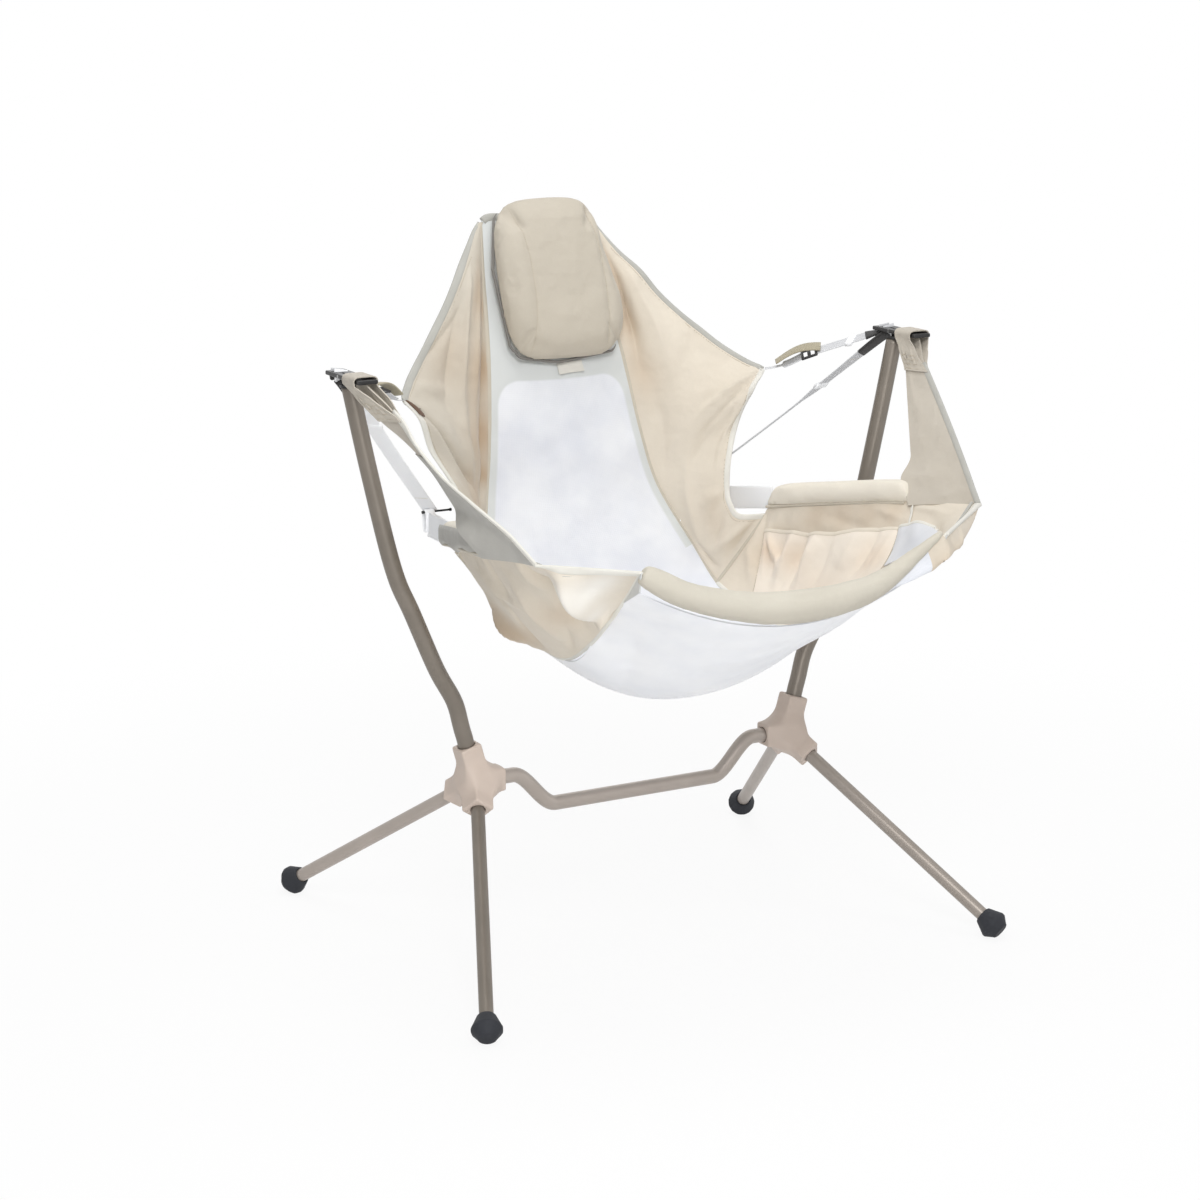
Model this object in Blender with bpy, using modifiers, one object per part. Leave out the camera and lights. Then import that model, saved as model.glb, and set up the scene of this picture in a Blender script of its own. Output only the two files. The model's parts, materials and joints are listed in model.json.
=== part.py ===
# Hanging camp recliner: a fabric sling swings from two curved uprights on a four-legged hub frame.
# Metres, +Z up. The sitter faces -Y. Left and right are as seen from the front, so right is +X.
# Shapes are worked out from the upright plane (y = 0 there); ROOT_Y then centres the whole on the origin.

import bmesh
import bpy
import numpy as np
from math import cos, pi, radians, sin
from mathutils import Matrix, Vector

# Frame sizes
HUB_SPREAD = 0.527          # between the two hub centres
HUB_HEIGHT = 0.253          # hub centre above the floor
TIP_SPREAD = 0.900          # between the upright tips
TIP_HEIGHT = 0.844          # top of the upright tubes
UPRIGHT_RADIUS = 0.0122
UPRIGHT_LEAN = radians(16)    # outward lean where the upright leaves its hub
UPRIGHT_BENDS = ((0.42, 0.50), (0.55, 0.672), (0.78, 0.85))    # shares of the rise and of the run
BAR_RADIUS = 0.011
BAR_DROP = 0.053            # the middle of the crossbar below the hubs
BAR_BEND_OUTER = 0.205      # from the middle to where the bend starts
BAR_BEND_INNER = 0.135
LEG_RADIUS = 0.010
TUBE_WALL = 0.0015
FRONT_FOOT_SPREAD = 0.837
FRONT_FOOT_REACH = 0.3356
REAR_FOOT_SPREAD = 0.814
REAR_FOOT_REACH = 0.3511

# Hub sizes
HUB_CORE = 0.013            # tube ends stop this far from the hub centre
HUB_ARM_WIDTH = 0.040       # across the flats at a socket mouth
HUB_ARM_ROOT = 0.046        # across the flats at the hub centre
SOCKET_UP = 0.058           # hub centre to the mouth of each socket
SOCKET_BAR = 0.046
SOCKET_LEG = 0.056

# Foot sizes: each foot is turned about its leg's axis, and its lower cone lies along the ground
FOOT_RADIUS = 0.0220        # of the widest band
FOOT_BAND = 0.004           # depth of that band
FOOT_UPPER = 0.022          # from the tube's entry to the middle of the band
FOOT_LOWER = 0.015          # from there to the end
FOOT_TOP_RADIUS = 0.0125
FOOT_CUT = 0.0005           # the side on the ground is cut flat this deep
LEG_END_GAP = 0.006         # the tube stops this far short of the band's middle

# Hanger sizes
CAP_HEIGHT = 0.004
CAP_RADIUS = 0.0136
SPIGOT_LENGTH = 0.016
PIVOT_RISE = 0.014          # swing axis above the tube end, along the tube
TAB_THICK = 0.008
TAB_LENGTH = 0.013
TAB_HEIGHT = 0.014
PIN_RADIUS = 0.0022
BRACKET_WIDTH = 0.030
BRACKET_THICK = 0.006
BRACKET_FRONT = 0.068
BRACKET_REAR = 0.042
BRACKET_CORNER = 0.006
WINDOW_LENGTH = 0.022
FRONT_SLOT_AT = 0.041       # centre of the front strap's slot ahead of the axis
REAR_SLOTS_AT = (0.021, 0.033)  # rear webbing, back webbing

# Fabric sizes
FABRIC = 0.003              # panel thickness
WEBBING = 0.002             # strap thickness
FRONT_STRAP_WIDTH = 0.038
REAR_STRAP_WIDTH = 0.020
ARM_BAND_WIDTH = 0.028
SEAM_INSET = 0.0016         # each panel stops this far short of its seam
CLEARANCE = 0.0003          # gap between touching pieces
PAD_HALF_HEIGHT = 0.0185
PAD_HALF_WIDTH = 0.0165
PAD_END_TAPER = 0.75        # how far the ends of a stuffed roll draw in
LIP_HALF_HEIGHT = 0.027     # in the middle
LIP_END_DROP = 0.010        # less at the ends
LIP_HALF_THICK = 0.014
LIP_FORWARD = 0.0047        # the lip roll stands ahead of the edge it is sewn to
PILLOW_HALF_WIDTH = 0.094
PILLOW_HALF_LENGTH = 0.127
PILLOW_CROWN = 0.028
PILLOW_BACK = 0.012         # behind its widest line
PILLOW_STANDOFF = 0.0119    # its widest line in front of the back's middle line
PILLOW_OVERHANG = 0.006     # below the station that it ends at
PILLOW_STATION = 2
PILLOW_ROUNDING = 0.36      # how round the outline is
PILLOW_TAPER = 0.20         # narrower at the top than in the middle
PILLOW_SEAM_AT = 0.56       # share of the half width
PILLOW_SEAM_WIDTH = 0.10    # share of the half width
PILLOW_SEAM_DEPTH = 0.005
TAG_WIDTH = 0.032
TAG_THICK = 0.0012
TAG_STATIONS = (2.10, 2.20)     # from just under the head cushion
HOOK_RADIUS = 0.0015
HOOK_LENGTH = 0.030
HOOK_OUTER_SHARE = 0.3      # of its length outside the webbing's middle
ADJUSTER_SIZE = (0.026, 0.020, 0.004)
PULL_TAB_LENGTH = 0.050
POCKET_REACH = ((1, 11), (1, 6))    # rows and columns of the side panel under the pocket
CUP_REACH = ((11, 15), (3, 7))

# Stations of the sling from the head to the lip: seam x, y, z, then middle y, z
STATIONS = np.array((
    (0.090, 0.316, 1.020, 0.312, 1.034),
    (0.102, 0.282, 0.915, 0.276, 0.920),
    (0.115, 0.245, 0.812, 0.236, 0.815),
    (0.131, 0.214, 0.692, 0.206, 0.700),
    (0.148, 0.190, 0.613, 0.180, 0.610),
    (0.178, 0.135, 0.530, 0.118, 0.500),
    (0.186, 0.075, 0.480, 0.060, 0.428),
    (0.186, 0.000, 0.462, 0.000, 0.385),
    (0.186, -0.100, 0.452, -0.090, 0.363),
    (0.196, -0.190, 0.472, -0.190, 0.390),
    (0.206, -0.285, 0.553, -0.310, 0.465),
    (0.238, -0.425, 0.618, -0.442, 0.551),
))
HEAD_STATION = 0
CREASE_STATION = 5          # the back panel ends and the seat panel begins
WING_FOOT_STATION = 6       # the wing's lower tip
LIP_STATION = len(STATIONS) - 1
WING_TOP = ((0.113, 0.316, 0.992), (0.158, 0.270, 0.937), (0.236, 0.217, 0.850), (0.305, 0.140, 0.792))
WING_SIDE = ((0.305, 0.140, 0.792), (0.262, 0.142, 0.715), (0.224, 0.108, 0.640), (0.238, 0.062, 0.587))
WING_TOP_STATION = 0.25     # the wing's upper tip on the seam
WING_CORNER_STATION = 3     # level with the wing's outer corner
WING_BOW = 0.010
WING_FOLD = 0.004
ARM_AXIS = ((0.273, 0.055, 0.612), (0.302, -0.040, 0.628), (0.340, -0.170, 0.648), (0.374, -0.325, 0.660))
ARM_STEPS = 20
ARM_PANEL_STEP = 13         # the pad ends and the front strap's panel begins at this step of the arm
ARM_PANEL_FLARE = 0.012
SIDE_FRONT_TOP = (0.2405, -0.434, 0.646)
SIDE_FRONT_STATION = 10.5   # the side panel leaves the seat's seam here for the lip's end
SIDE_BOW = 0.016
SIDE_FOLD = 0.006
SIDE_ROWS = 16
SIDE_COLUMNS = 8
FOLD_WAVES = 1.5
STRAP_JOINT = (0.230, 0.214, 0.604)     # where the rear webbing meets the arm band
BAND_SEAM_STATION = 4.7     # the arm band is sewn to the back here
ADJUSTER_SHARE = 0.62       # of the way from the bracket to the wing's corner

# The chair's lean when it is set back turns about this axis
RECLINE_DROP = 0.290        # below the swing axis
RECLINE_AHEAD = 0.050       # ahead of the swing axis


# Worked out from the sizes above

def unit(vector):
    vector = np.asarray(vector, float)
    return vector / np.linalg.norm(vector)


def hub_centre(side):
    return np.array((side * HUB_SPREAD / 2, 0, HUB_HEIGHT))


def foot_point(side, way):
    """The middle of a foot's widest band, on the leg's axis, so high that the foot stands on the ground."""
    spread = FRONT_FOOT_SPREAD if way == "front" else REAR_FOOT_SPREAD
    reach = -FRONT_FOOT_REACH if way == "front" else REAR_FOOT_REACH
    level = np.hypot((spread - HUB_SPREAD) / 2, reach)
    height = FOOT_RADIUS
    for _ in range(8):
        fall = HUB_HEIGHT - height
        height = (FOOT_RADIUS * level + FOOT_BAND / 2 * fall) / np.hypot(level, fall) - FOOT_CUT
    return np.array((side * spread / 2, reach, height))


def leg_direction(side, way):
    return unit(foot_point(side, way) - hub_centre(side))


def foot_profile(way):
    """Radius and distance along the leg, from the foot's end up to the tube's entry."""
    slope = -leg_direction(1, way)[2] / np.hypot(*leg_direction(1, way)[:2])
    end_radius = FOOT_RADIUS - (FOOT_LOWER - FOOT_BAND / 2) * slope
    return ((0, FOOT_LOWER), (end_radius, FOOT_LOWER), (FOOT_RADIUS, FOOT_BAND / 2),
            (FOOT_RADIUS, -FOOT_BAND / 2), (FOOT_TOP_RADIUS, -FOOT_UPPER), (0, -FOOT_UPPER))


BACKWARD = leg_direction(1, "rear")[1]
SIDEWAYS = np.sqrt(1 - BACKWARD ** 2)
REAR_REACH = REAR_FOOT_REACH + max(s * BACKWARD + r * SIDEWAYS for r, s in foot_profile("rear"))
LIP_REACH = -STATIONS[LIP_STATION, 3] + LIP_FORWARD + LIP_HALF_THICK
ROOT_Y = (LIP_REACH - REAR_REACH) / 2
TIP_LEAN = np.array(((1 - UPRIGHT_BENDS[-1][1]) * (TIP_SPREAD - HUB_SPREAD) / 2, 0,
                     (1 - UPRIGHT_BENDS[-1][0]) * (TIP_HEIGHT - HUB_HEIGHT)))
TIP_LEAN = TIP_LEAN / np.linalg.norm(TIP_LEAN)
SWING_Z = TIP_HEIGHT + PIVOT_RISE * TIP_LEAN[2]
SWING_X = TIP_SPREAD / 2 + PIVOT_RISE * TIP_LEAN[0]
RECLINE_AXIS = (0, -RECLINE_AHEAD, SWING_Z - RECLINE_DROP)

for old in list(bpy.data.objects):
    bpy.data.objects.remove(old, do_unlink=True)
parts = bpy.data.collections.new("hanging_recliner")
cutters = bpy.data.collections.new("cutters")
bpy.context.scene.collection.children.link(parts)
bpy.context.scene.collection.children.link(cutters)


# Materials

def finish(name, colour, roughness, metallic=0.0):
    material = bpy.data.materials.new(name)
    material.use_nodes = True
    shader = material.node_tree.nodes["Principled BSDF"]
    shader.inputs["Base Color"].default_value = (*colour, 1)
    shader.inputs["Roughness"].default_value = roughness
    shader.inputs["Metallic"].default_value = metallic
    return material


bronze = finish("bronze_tube", (0.21, 0.19, 0.16), 0.38, 0.85)
taupe = finish("taupe_plastic", (0.50, 0.41, 0.35), 0.55)
black = finish("black_plastic", (0.012, 0.012, 0.013), 0.45)
rubber = finish("foot_rubber", (0.02, 0.022, 0.027), 0.8)
steel = finish("pin_steel", (0.5, 0.5, 0.5), 0.3, 1.0)
beige = finish("beige_cloth", (0.64, 0.58, 0.48), 0.85)
peach = finish("pocket_cloth", (0.72, 0.60, 0.47), 0.85)
white_mesh = finish("white_mesh", (0.80, 0.81, 0.86), 0.8)
webbing = finish("pale_webbing", (0.66, 0.66, 0.68), 0.8)


# Placing: each moving group hangs from an empty on its joint's axis

def holder(name, at, parent=None):
    empty = bpy.data.objects.new(name, None)
    empty.location = at
    empty.parent = parent
    parts.objects.link(empty)
    return empty


root = holder("root", (0, ROOT_Y, 0))
hanger = holder("swing_axis", (0, 0, SWING_Z), root)
seat = holder("recline_axis", RECLINE_AXIS, root)


def place(obj, name, material, group):
    obj.name = name
    obj.data.name = name
    obj.data.materials.clear()
    obj.data.materials.append(material)
    obj.parent = group
    if group is not root:
        obj.location = Vector(obj.location) - group.location
    return obj


def mesh_object(name, points, faces, material, group):
    mesh = bpy.data.meshes.new(name)
    mesh.from_pydata([tuple(map(float, p)) for p in points], [], faces)
    form = bmesh.new()
    form.from_mesh(mesh)
    bmesh.ops.recalc_face_normals(form, faces=form.faces)
    form.to_mesh(mesh)
    form.free()
    mesh.shade_smooth()
    obj = bpy.data.objects.new(name, mesh)
    parts.objects.link(obj)
    return place(obj, name, material, group)


def cutter(mesh_from, name):
    obj = bpy.data.objects.new(name, mesh_from)
    obj.hide_render = True
    obj.display_type = "WIRE"
    obj.parent = root
    cutters.objects.link(obj)
    return obj


def boolean(obj, other, operation="DIFFERENCE"):
    modifier = obj.modifiers.new(other.name, "BOOLEAN")
    modifier.object = other
    modifier.operation = operation
    modifier.solver = "EXACT"


def rod_mesh(name, start, end, radius_start, radius_end, sides):
    start, end = Vector(start), Vector(end)
    run = end - start
    form = bmesh.new()
    bmesh.ops.create_cone(form, cap_ends=True, segments=sides, radius1=radius_start, radius2=radius_end,
                          depth=run.length)
    bmesh.ops.rotate(form, verts=form.verts, matrix=Matrix.Rotation(pi / sides, 3, "Z"))
    bmesh.ops.rotate(form, verts=form.verts, matrix=run.to_track_quat("Z", "Y").to_matrix())
    bmesh.ops.translate(form, verts=form.verts, vec=(start + end) / 2)
    mesh = bpy.data.meshes.new(name)
    form.to_mesh(mesh)
    form.free()
    return mesh


def turn_over(mesh, side):
    """Mirrors a right-hand mesh for the left side."""
    if side < 0:
        form = bmesh.new()
        form.from_mesh(mesh)
        bmesh.ops.scale(form, verts=form.verts, vec=(-1, 1, 1))
        bmesh.ops.reverse_faces(form, faces=form.faces)
        form.to_mesh(mesh)
        form.free()


def box_mesh(name, centre, size):
    form = bmesh.new()
    bmesh.ops.create_cube(form, size=1)
    bmesh.ops.scale(form, verts=form.verts, vec=size)
    bmesh.ops.translate(form, verts=form.verts, vec=centre)
    mesh = bpy.data.meshes.new(name)
    form.to_mesh(mesh)
    form.free()
    return mesh


# Curves and sheets

def smooth_rail(points, count):
    """Evenly spaced points on a smooth curve through the given ones."""
    points = np.asarray(points, float)
    return spline(points, np.linspace(0, len(points) - 1, 8 * count + 1), count)


def spline(points, at, count=None):
    """A Catmull-Rom curve through the points, read at the given stations, or evenly along that stretch."""
    padded = np.vstack((2 * points[0] - points[1], points, 2 * points[-1] - points[-2]))
    first = np.clip(np.floor(at).astype(int), 0, len(points) - 2)
    t = (at - first)[:, None]
    a, b, c, d = (padded[first + k] for k in range(4))
    cubic = (2 * a - 5 * b + 4 * c - d) * t ** 2 + (3 * b - 3 * c + d - a) * t ** 3
    curve = b + ((c - a) * t + cubic) / 2
    if count is None:
        return curve
    along = np.concatenate(((0,), np.cumsum(np.linalg.norm(np.diff(curve, axis=0), axis=1))))
    even = np.linspace(0, along[-1], count + 1)
    return np.stack([np.interp(even, along, curve[:, k]) for k in range(3)], axis=1)


def mirrored(points, side):
    return np.asarray(points, float) * (side, 1, 1)


def normals(grid):
    across = np.cross(np.gradient(grid, axis=0), np.gradient(grid, axis=1))
    return across / np.linalg.norm(across, axis=2, keepdims=True)


def inset(grid, gap):
    """The grid with each of its four edges drawn in by the gap."""
    grid = grid.copy()
    for axis in (0, 1):
        rows = np.moveaxis(grid, axis, 0)
        for edge, inner in ((0, 1), (-1, -2)):
            step = rows[inner] - rows[edge]
            rows[edge] += gap * step / np.linalg.norm(step, axis=1, keepdims=True)
    return grid


def loft(rail_a, rail_b, columns, bow):
    """Straight lines between two rails, bowed along the surface's normal everywhere but at the edges."""
    share = np.linspace(0, 1, columns + 1)[None, :, None]
    along = np.linspace(0, 1, len(rail_a))[:, None, None]
    grid = rail_a[:, None] * (1 - share) + rail_b[:, None] * share
    return grid + normals(grid) * bow * np.sin(pi * share) * np.sqrt(np.abs(np.sin(pi * along)))


def folded(grid, depth, waves, slant):
    """Main folds: slanting waves that die out at the panel's edges."""
    u = np.linspace(0, 1, grid.shape[0])[:, None]
    v = np.linspace(0, 1, grid.shape[1])[None, :]
    wave = np.sin(2 * pi * (waves * u + slant * v)) * np.sin(pi * u) * np.sin(pi * v)
    return grid + normals(grid) * (depth * wave)[:, :, None]


def grid_faces(rows, columns):
    corner = np.arange(rows * columns).reshape(rows, columns)
    quads = np.stack((corner[:-1, :-1], corner[1:, :-1], corner[1:, 1:], corner[:-1, 1:]), axis=-1)
    return [tuple(map(int, quad)) for quad in quads.reshape(-1, 4)]


def sheet(name, grid, thickness, material, group):
    obj = mesh_object(name, grid.reshape(-1, 3), grid_faces(*grid.shape[:2]), material, group)
    solidify = obj.modifiers.new("cloth", "SOLIDIFY")
    solidify.thickness = thickness
    solidify.offset = 0
    solidify.use_even_offset = True
    return obj


def strip(name, middle, width_ways, width, thickness, material, group):
    """A flat strap: a middle line with the strap's width laid along the given direction at each point."""
    ways = np.asarray(width_ways, float)
    ways = ways / np.linalg.norm(ways, axis=1, keepdims=True)
    share = np.linspace(-0.5, 0.5, 3)[None, :, None]
    grid = np.asarray(middle, float)[:, None] + ways[:, None] * share * width
    return sheet(name, grid, thickness, material, group)


def pad(name, axis, half_heights, half_width, sides, material, group):
    """A stuffed roll: rounded sections along an axis, drawn in at both ends."""
    axis = np.asarray(axis, float)
    along = np.gradient(axis, axis=0)
    along /= np.linalg.norm(along, axis=1, keepdims=True)
    across = np.cross(along, (0, 0, 1))
    across /= np.linalg.norm(across, axis=1, keepdims=True)
    rise = np.cross(across, along)
    turn = np.linspace(0, 2 * pi, sides, endpoint=False)
    end = np.linspace(-1, 1, len(axis))
    full = (1 - PAD_END_TAPER * np.abs(end) ** 8)[:, None, None]
    grid = axis[:, None] + full * (half_width * np.cos(turn)[None, :, None] * across[:, None]
                                   + (half_heights[:, None] * np.sin(turn))[:, :, None] * rise[:, None])
    rows = len(axis)
    wrap = np.arange(rows * sides).reshape(rows, sides)
    faces = []
    for row in range(rows - 1):
        for k in range(sides):
            after = (k + 1) % sides
            faces.append(tuple(int(i) for i in (wrap[row, k], wrap[row, after],
                                                wrap[row + 1, after], wrap[row + 1, k])))
    faces.append(tuple(int(i) for i in wrap[0]))
    faces.append(tuple(int(i) for i in wrap[-1]))
    return mesh_object(name, grid.reshape(-1, 3), faces, material, group)


def tube(name, path, radius, material, group):
    curve = bpy.data.curves.new(name, "CURVE")
    curve.dimensions = "3D"
    curve.bevel_depth = radius
    curve.bevel_resolution = 4
    line = curve.splines.new("POLY")
    line.points.add(len(path) - 1)
    for point, at in zip(line.points, path):
        point.co = (*map(float, at), 1)
    line.use_smooth = True
    obj = bpy.data.objects.new(name, curve)
    parts.objects.link(obj)
    wall = obj.modifiers.new("wall", "SOLIDIFY")
    wall.thickness = TUBE_WALL
    wall.offset = -1
    return place(obj, name, material, group)


# Frame

def up_way(side):
    return np.array((side * sin(UPRIGHT_LEAN), 0, cos(UPRIGHT_LEAN)))


def make_hub(side, label):
    centre = hub_centre(1)
    sockets = [
        (up_way(1), SOCKET_UP, UPRIGHT_RADIUS),
        (np.array((-1, 0, 0)), SOCKET_BAR, BAR_RADIUS),
        (leg_direction(1, "front"), SOCKET_LEG, LEG_RADIUS),
        (leg_direction(1, "rear"), SOCKET_LEG, LEG_RADIUS),
    ]
    corner = 1 / cos(pi / 8)
    hub = None
    for number, (way, length, _) in enumerate(sockets):
        arm = rod_mesh("hub_arm", centre - way * HUB_CORE, centre + way * length,
                       HUB_ARM_ROOT / 2 * corner, HUB_ARM_WIDTH / 2 * corner, 8)
        turn_over(arm, side)
        if hub is None:
            hub = bpy.data.objects.new("hub", arm)
            parts.objects.link(hub)
        else:
            boolean(hub, cutter(arm, f"hub_arm_{label}_{number}"), "UNION")
    for number, (way, length, radius) in enumerate(sockets):
        bore = rod_mesh("bore", centre + way * (HUB_CORE - CLEARANCE), centre + way * (length + HUB_CORE),
                        radius + CLEARANCE, radius + CLEARANCE, 24)
        turn_over(bore, side)
        boolean(hub, cutter(bore, f"hub_bore_{label}_{number}"))
    place(hub, f"hub_{label}", taupe, root)


def upright_path(side):
    centre = hub_centre(side)
    start = centre + up_way(side) * HUB_CORE
    straight = centre + up_way(side) * (SOCKET_UP + HUB_CORE)
    rise = TIP_HEIGHT - HUB_HEIGHT
    run = (TIP_SPREAD - HUB_SPREAD) / 2
    bends = [centre + np.array((side * run * across, 0, rise * up)) for up, across in UPRIGHT_BENDS]
    tip = np.array((side * TIP_SPREAD / 2, 0, TIP_HEIGHT))
    curve = spline(np.array([centre, straight, *bends, tip]), np.linspace(1, len(bends) + 2, 161), 20)
    return np.vstack((start[None], curve))


def bar_path():
    edge = HUB_SPREAD / 2 - HUB_CORE
    share = np.linspace(0, 1, 9)
    ease = share * share * (3 - 2 * share)
    x = BAR_BEND_OUTER + (BAR_BEND_INNER - BAR_BEND_OUTER) * share
    half = np.stack((x, 0 * x, HUB_HEIGHT - BAR_DROP * ease), axis=1)
    half = np.vstack(((edge, 0, HUB_HEIGHT), half))
    return np.vstack((half, half[::-1] * (-1, 1, 1)))


def make_foot(side, way, group):
    name = f"foot_{way}_{'right' if side > 0 else 'left'}"
    point, leg_way = foot_point(side, way), leg_direction(side, way)
    profile = foot_profile(way)
    mesh = bpy.data.meshes.new(name)
    mesh.from_pydata([(r, 0, s) for r, s in profile], [(k, k + 1) for k in range(len(profile) - 1)], [])
    foot = bpy.data.objects.new(name, mesh)
    foot.location = point
    foot.rotation_mode = "QUATERNION"
    foot.rotation_quaternion = Vector(leg_way).to_track_quat("Z", "Y")
    parts.objects.link(foot)
    turn = foot.modifiers.new("turned", "SCREW")
    turn.steps = 20
    turn.render_steps = 20
    turn.use_merge_vertices = True
    turn.merge_threshold = 0.0001
    bore = rod_mesh("foot_bore", point - leg_way * (LEG_END_GAP - CLEARANCE), point - leg_way * FOOT_UPPER * 2,
                    LEG_RADIUS + CLEARANCE, LEG_RADIUS + CLEARANCE, 24)
    boolean(foot, cutter(bore, name + "_bore"))
    size = np.array((4, 4, 2)) * FOOT_RADIUS
    ground = box_mesh("ground", (point[0], point[1], -size[2] / 2), size)
    boolean(foot, cutter(ground, name + "_ground"))
    place(foot, name, rubber, group)


for side, label in ((-1, "left"), (1, "right")):
    make_hub(side, label)
    tube(f"upright_{label}", upright_path(side), UPRIGHT_RADIUS, bronze, root)
    for way in ("front", "rear"):
        leg_way = leg_direction(side, way)
        top = hub_centre(side) + leg_way * HUB_CORE
        low = foot_point(side, way) - leg_way * LEG_END_GAP
        leg_axis = holder(f"leg_axis_{way}_{label}", hub_centre(side), root)
        tube(f"leg_{way}_{label}", (top, low), LEG_RADIUS, bronze, leg_axis)
        make_foot(side, way, leg_axis)
tube("crossbar", bar_path(), BAR_RADIUS, bronze, root)


# Hangers on the upright tips

def make_hanger(side, label):
    tip = np.array((side * TIP_SPREAD / 2, 0, TIP_HEIGHT))
    lean = mirrored(upright_path(1)[-1] - upright_path(1)[-2], side)
    lean = unit(lean)
    pivot = np.array((side * SWING_X, 0, SWING_Z))
    cap = bpy.data.objects.new("cap", rod_mesh("cap", tip + lean * CLEARANCE, tip + lean * CAP_HEIGHT,
                                               CAP_RADIUS, CAP_RADIUS, 24))
    parts.objects.link(cap)
    spigot = UPRIGHT_RADIUS - TUBE_WALL - CLEARANCE
    boolean(cap, cutter(rod_mesh("spigot", tip - lean * SPIGOT_LENGTH, tip + lean * CAP_HEIGHT / 2,
                                 spigot, spigot, 24), f"cap_spigot_{label}"), "UNION")
    tab_centre = pivot - (0, 0, TAB_HEIGHT / 4)
    boolean(cap, cutter(box_mesh("tab", tab_centre, (TAB_THICK, TAB_LENGTH, TAB_HEIGHT)),
                        f"cap_tab_{label}"), "UNION")
    half = np.array((BRACKET_WIDTH / 2, 0, 0))
    hole = rod_mesh("pin_bore", pivot - half * 2, pivot + half * 2, PIN_RADIUS + CLEARANCE,
                    PIN_RADIUS + CLEARANCE, 16)
    hole = cutter(hole, f"pin_bore_{label}")
    boolean(cap, hole)
    place(cap, f"end_cap_{label}", black, root)
    pin = bpy.data.objects.new("pin", rod_mesh("pin", pivot - half, pivot + half, PIN_RADIUS, PIN_RADIUS, 16))
    parts.objects.link(pin)
    place(pin, f"pivot_pin_{label}", steel, root)

    middle = pivot + (0, (BRACKET_REAR - BRACKET_FRONT) / 2, 0)
    plate = bpy.data.objects.new("plate", box_mesh(
        "plate", middle, (BRACKET_WIDTH, BRACKET_FRONT + BRACKET_REAR, BRACKET_THICK)))
    parts.objects.link(plate)
    corners = plate.modifiers.new("corners", "BEVEL")
    corners.width = BRACKET_CORNER / 4
    corners.segments = 2
    tall = BRACKET_THICK * 2
    slot = WEBBING + 2 * CLEARANCE
    openings = {
        "window": ((0, 0, 0), (TAB_THICK + 2 * CLEARANCE, WINDOW_LENGTH, tall)),
        "front": ((0, -FRONT_SLOT_AT, 0), (slot, FRONT_STRAP_WIDTH + 2 * CLEARANCE, tall)),
        "rear": ((0, REAR_SLOTS_AT[0], 0), (REAR_STRAP_WIDTH + 2 * CLEARANCE, slot, tall)),
        "back": ((0, REAR_SLOTS_AT[1], 0), (REAR_STRAP_WIDTH + 2 * CLEARANCE, slot, tall)),
    }
    for name, (offset, size) in openings.items():
        boolean(plate, cutter(box_mesh(name, pivot + offset, size), f"bracket_{name}_{label}"))
    boolean(plate, hole)
    place(plate, f"hanger_bracket_{label}", black, hanger)


for side, label in ((-1, "left"), (1, "right")):
    make_hanger(side, label)


# Sling panels

def seam_rail(start, end, count, side):
    return mirrored(spline(STATIONS[:, :3], np.linspace(start, end, count + 1)), side)


def middle_rail(start, end, count):
    points = np.column_stack((0 * STATIONS[:, 3], STATIONS[:, 3:]))
    return spline(points, np.linspace(start, end, count + 1))


def strip_between_seams(start, end, count, columns):
    """The middle panel: a parabola across from seam to seam through the middle line."""
    share = np.linspace(-1, 1, columns + 1)[None, :, None]
    seam = seam_rail(start, end, count, 1)
    middle = middle_rail(start, end, count)
    reach = np.abs(share) * (share != 0)
    drop = middle[:, None] * (1 - reach ** 2) + seam[:, None] * (0, 1, 1) * reach ** 2
    return drop + seam[:, None] * (1, 0, 0) * share


sheet("back_mesh", inset(strip_between_seams(HEAD_STATION, CREASE_STATION, 14, 8), SEAM_INSET),
      FABRIC, white_mesh, seat)
seat_grid = strip_between_seams(CREASE_STATION, LIP_STATION, 18, 8)
sheet("seat_mesh", inset(seat_grid, SEAM_INSET), FABRIC, white_mesh, seat)


def make_wing(side, label):
    along_top, along_side = 7, 8
    seam = np.vstack((seam_rail(WING_TOP_STATION, WING_CORNER_STATION, along_top, side),
                      seam_rail(WING_CORNER_STATION, WING_FOOT_STATION, along_side, side)[1:]))
    edge = np.vstack((smooth_rail(mirrored(WING_TOP, side), along_top),
                      smooth_rail(mirrored(WING_SIDE, side), along_side)[1:]))
    grid = folded(loft(seam, edge, 6, side * WING_BOW), WING_FOLD, FOLD_WAVES, 0.8)
    sheet(f"wing_{label}", inset(grid, SEAM_INSET), FABRIC, beige, seat)


def arm_axis(side, count):
    return smooth_rail(mirrored(ARM_AXIS, side), count)


def side_grid(side):
    """The side panel between the seat's seam and the underside of the armrest."""
    seam = seam_rail(WING_FOOT_STATION, SIDE_FRONT_STATION, SIDE_ROWS, side)
    seam = smooth_rail(np.vstack((seam[::4], mirrored(SIDE_FRONT_TOP, side)[None])), SIDE_ROWS)
    under = mirrored(ARM_AXIS, side) - (0, 0, PAD_HALF_HEIGHT + CLEARANCE)
    top = smooth_rail(np.vstack((mirrored(WING_SIDE[-1], side)[None], under[1:])), SIDE_ROWS)
    return folded(loft(seam, top, SIDE_COLUMNS, -side * SIDE_BOW), SIDE_FOLD, FOLD_WAVES, 1.0)


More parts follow.
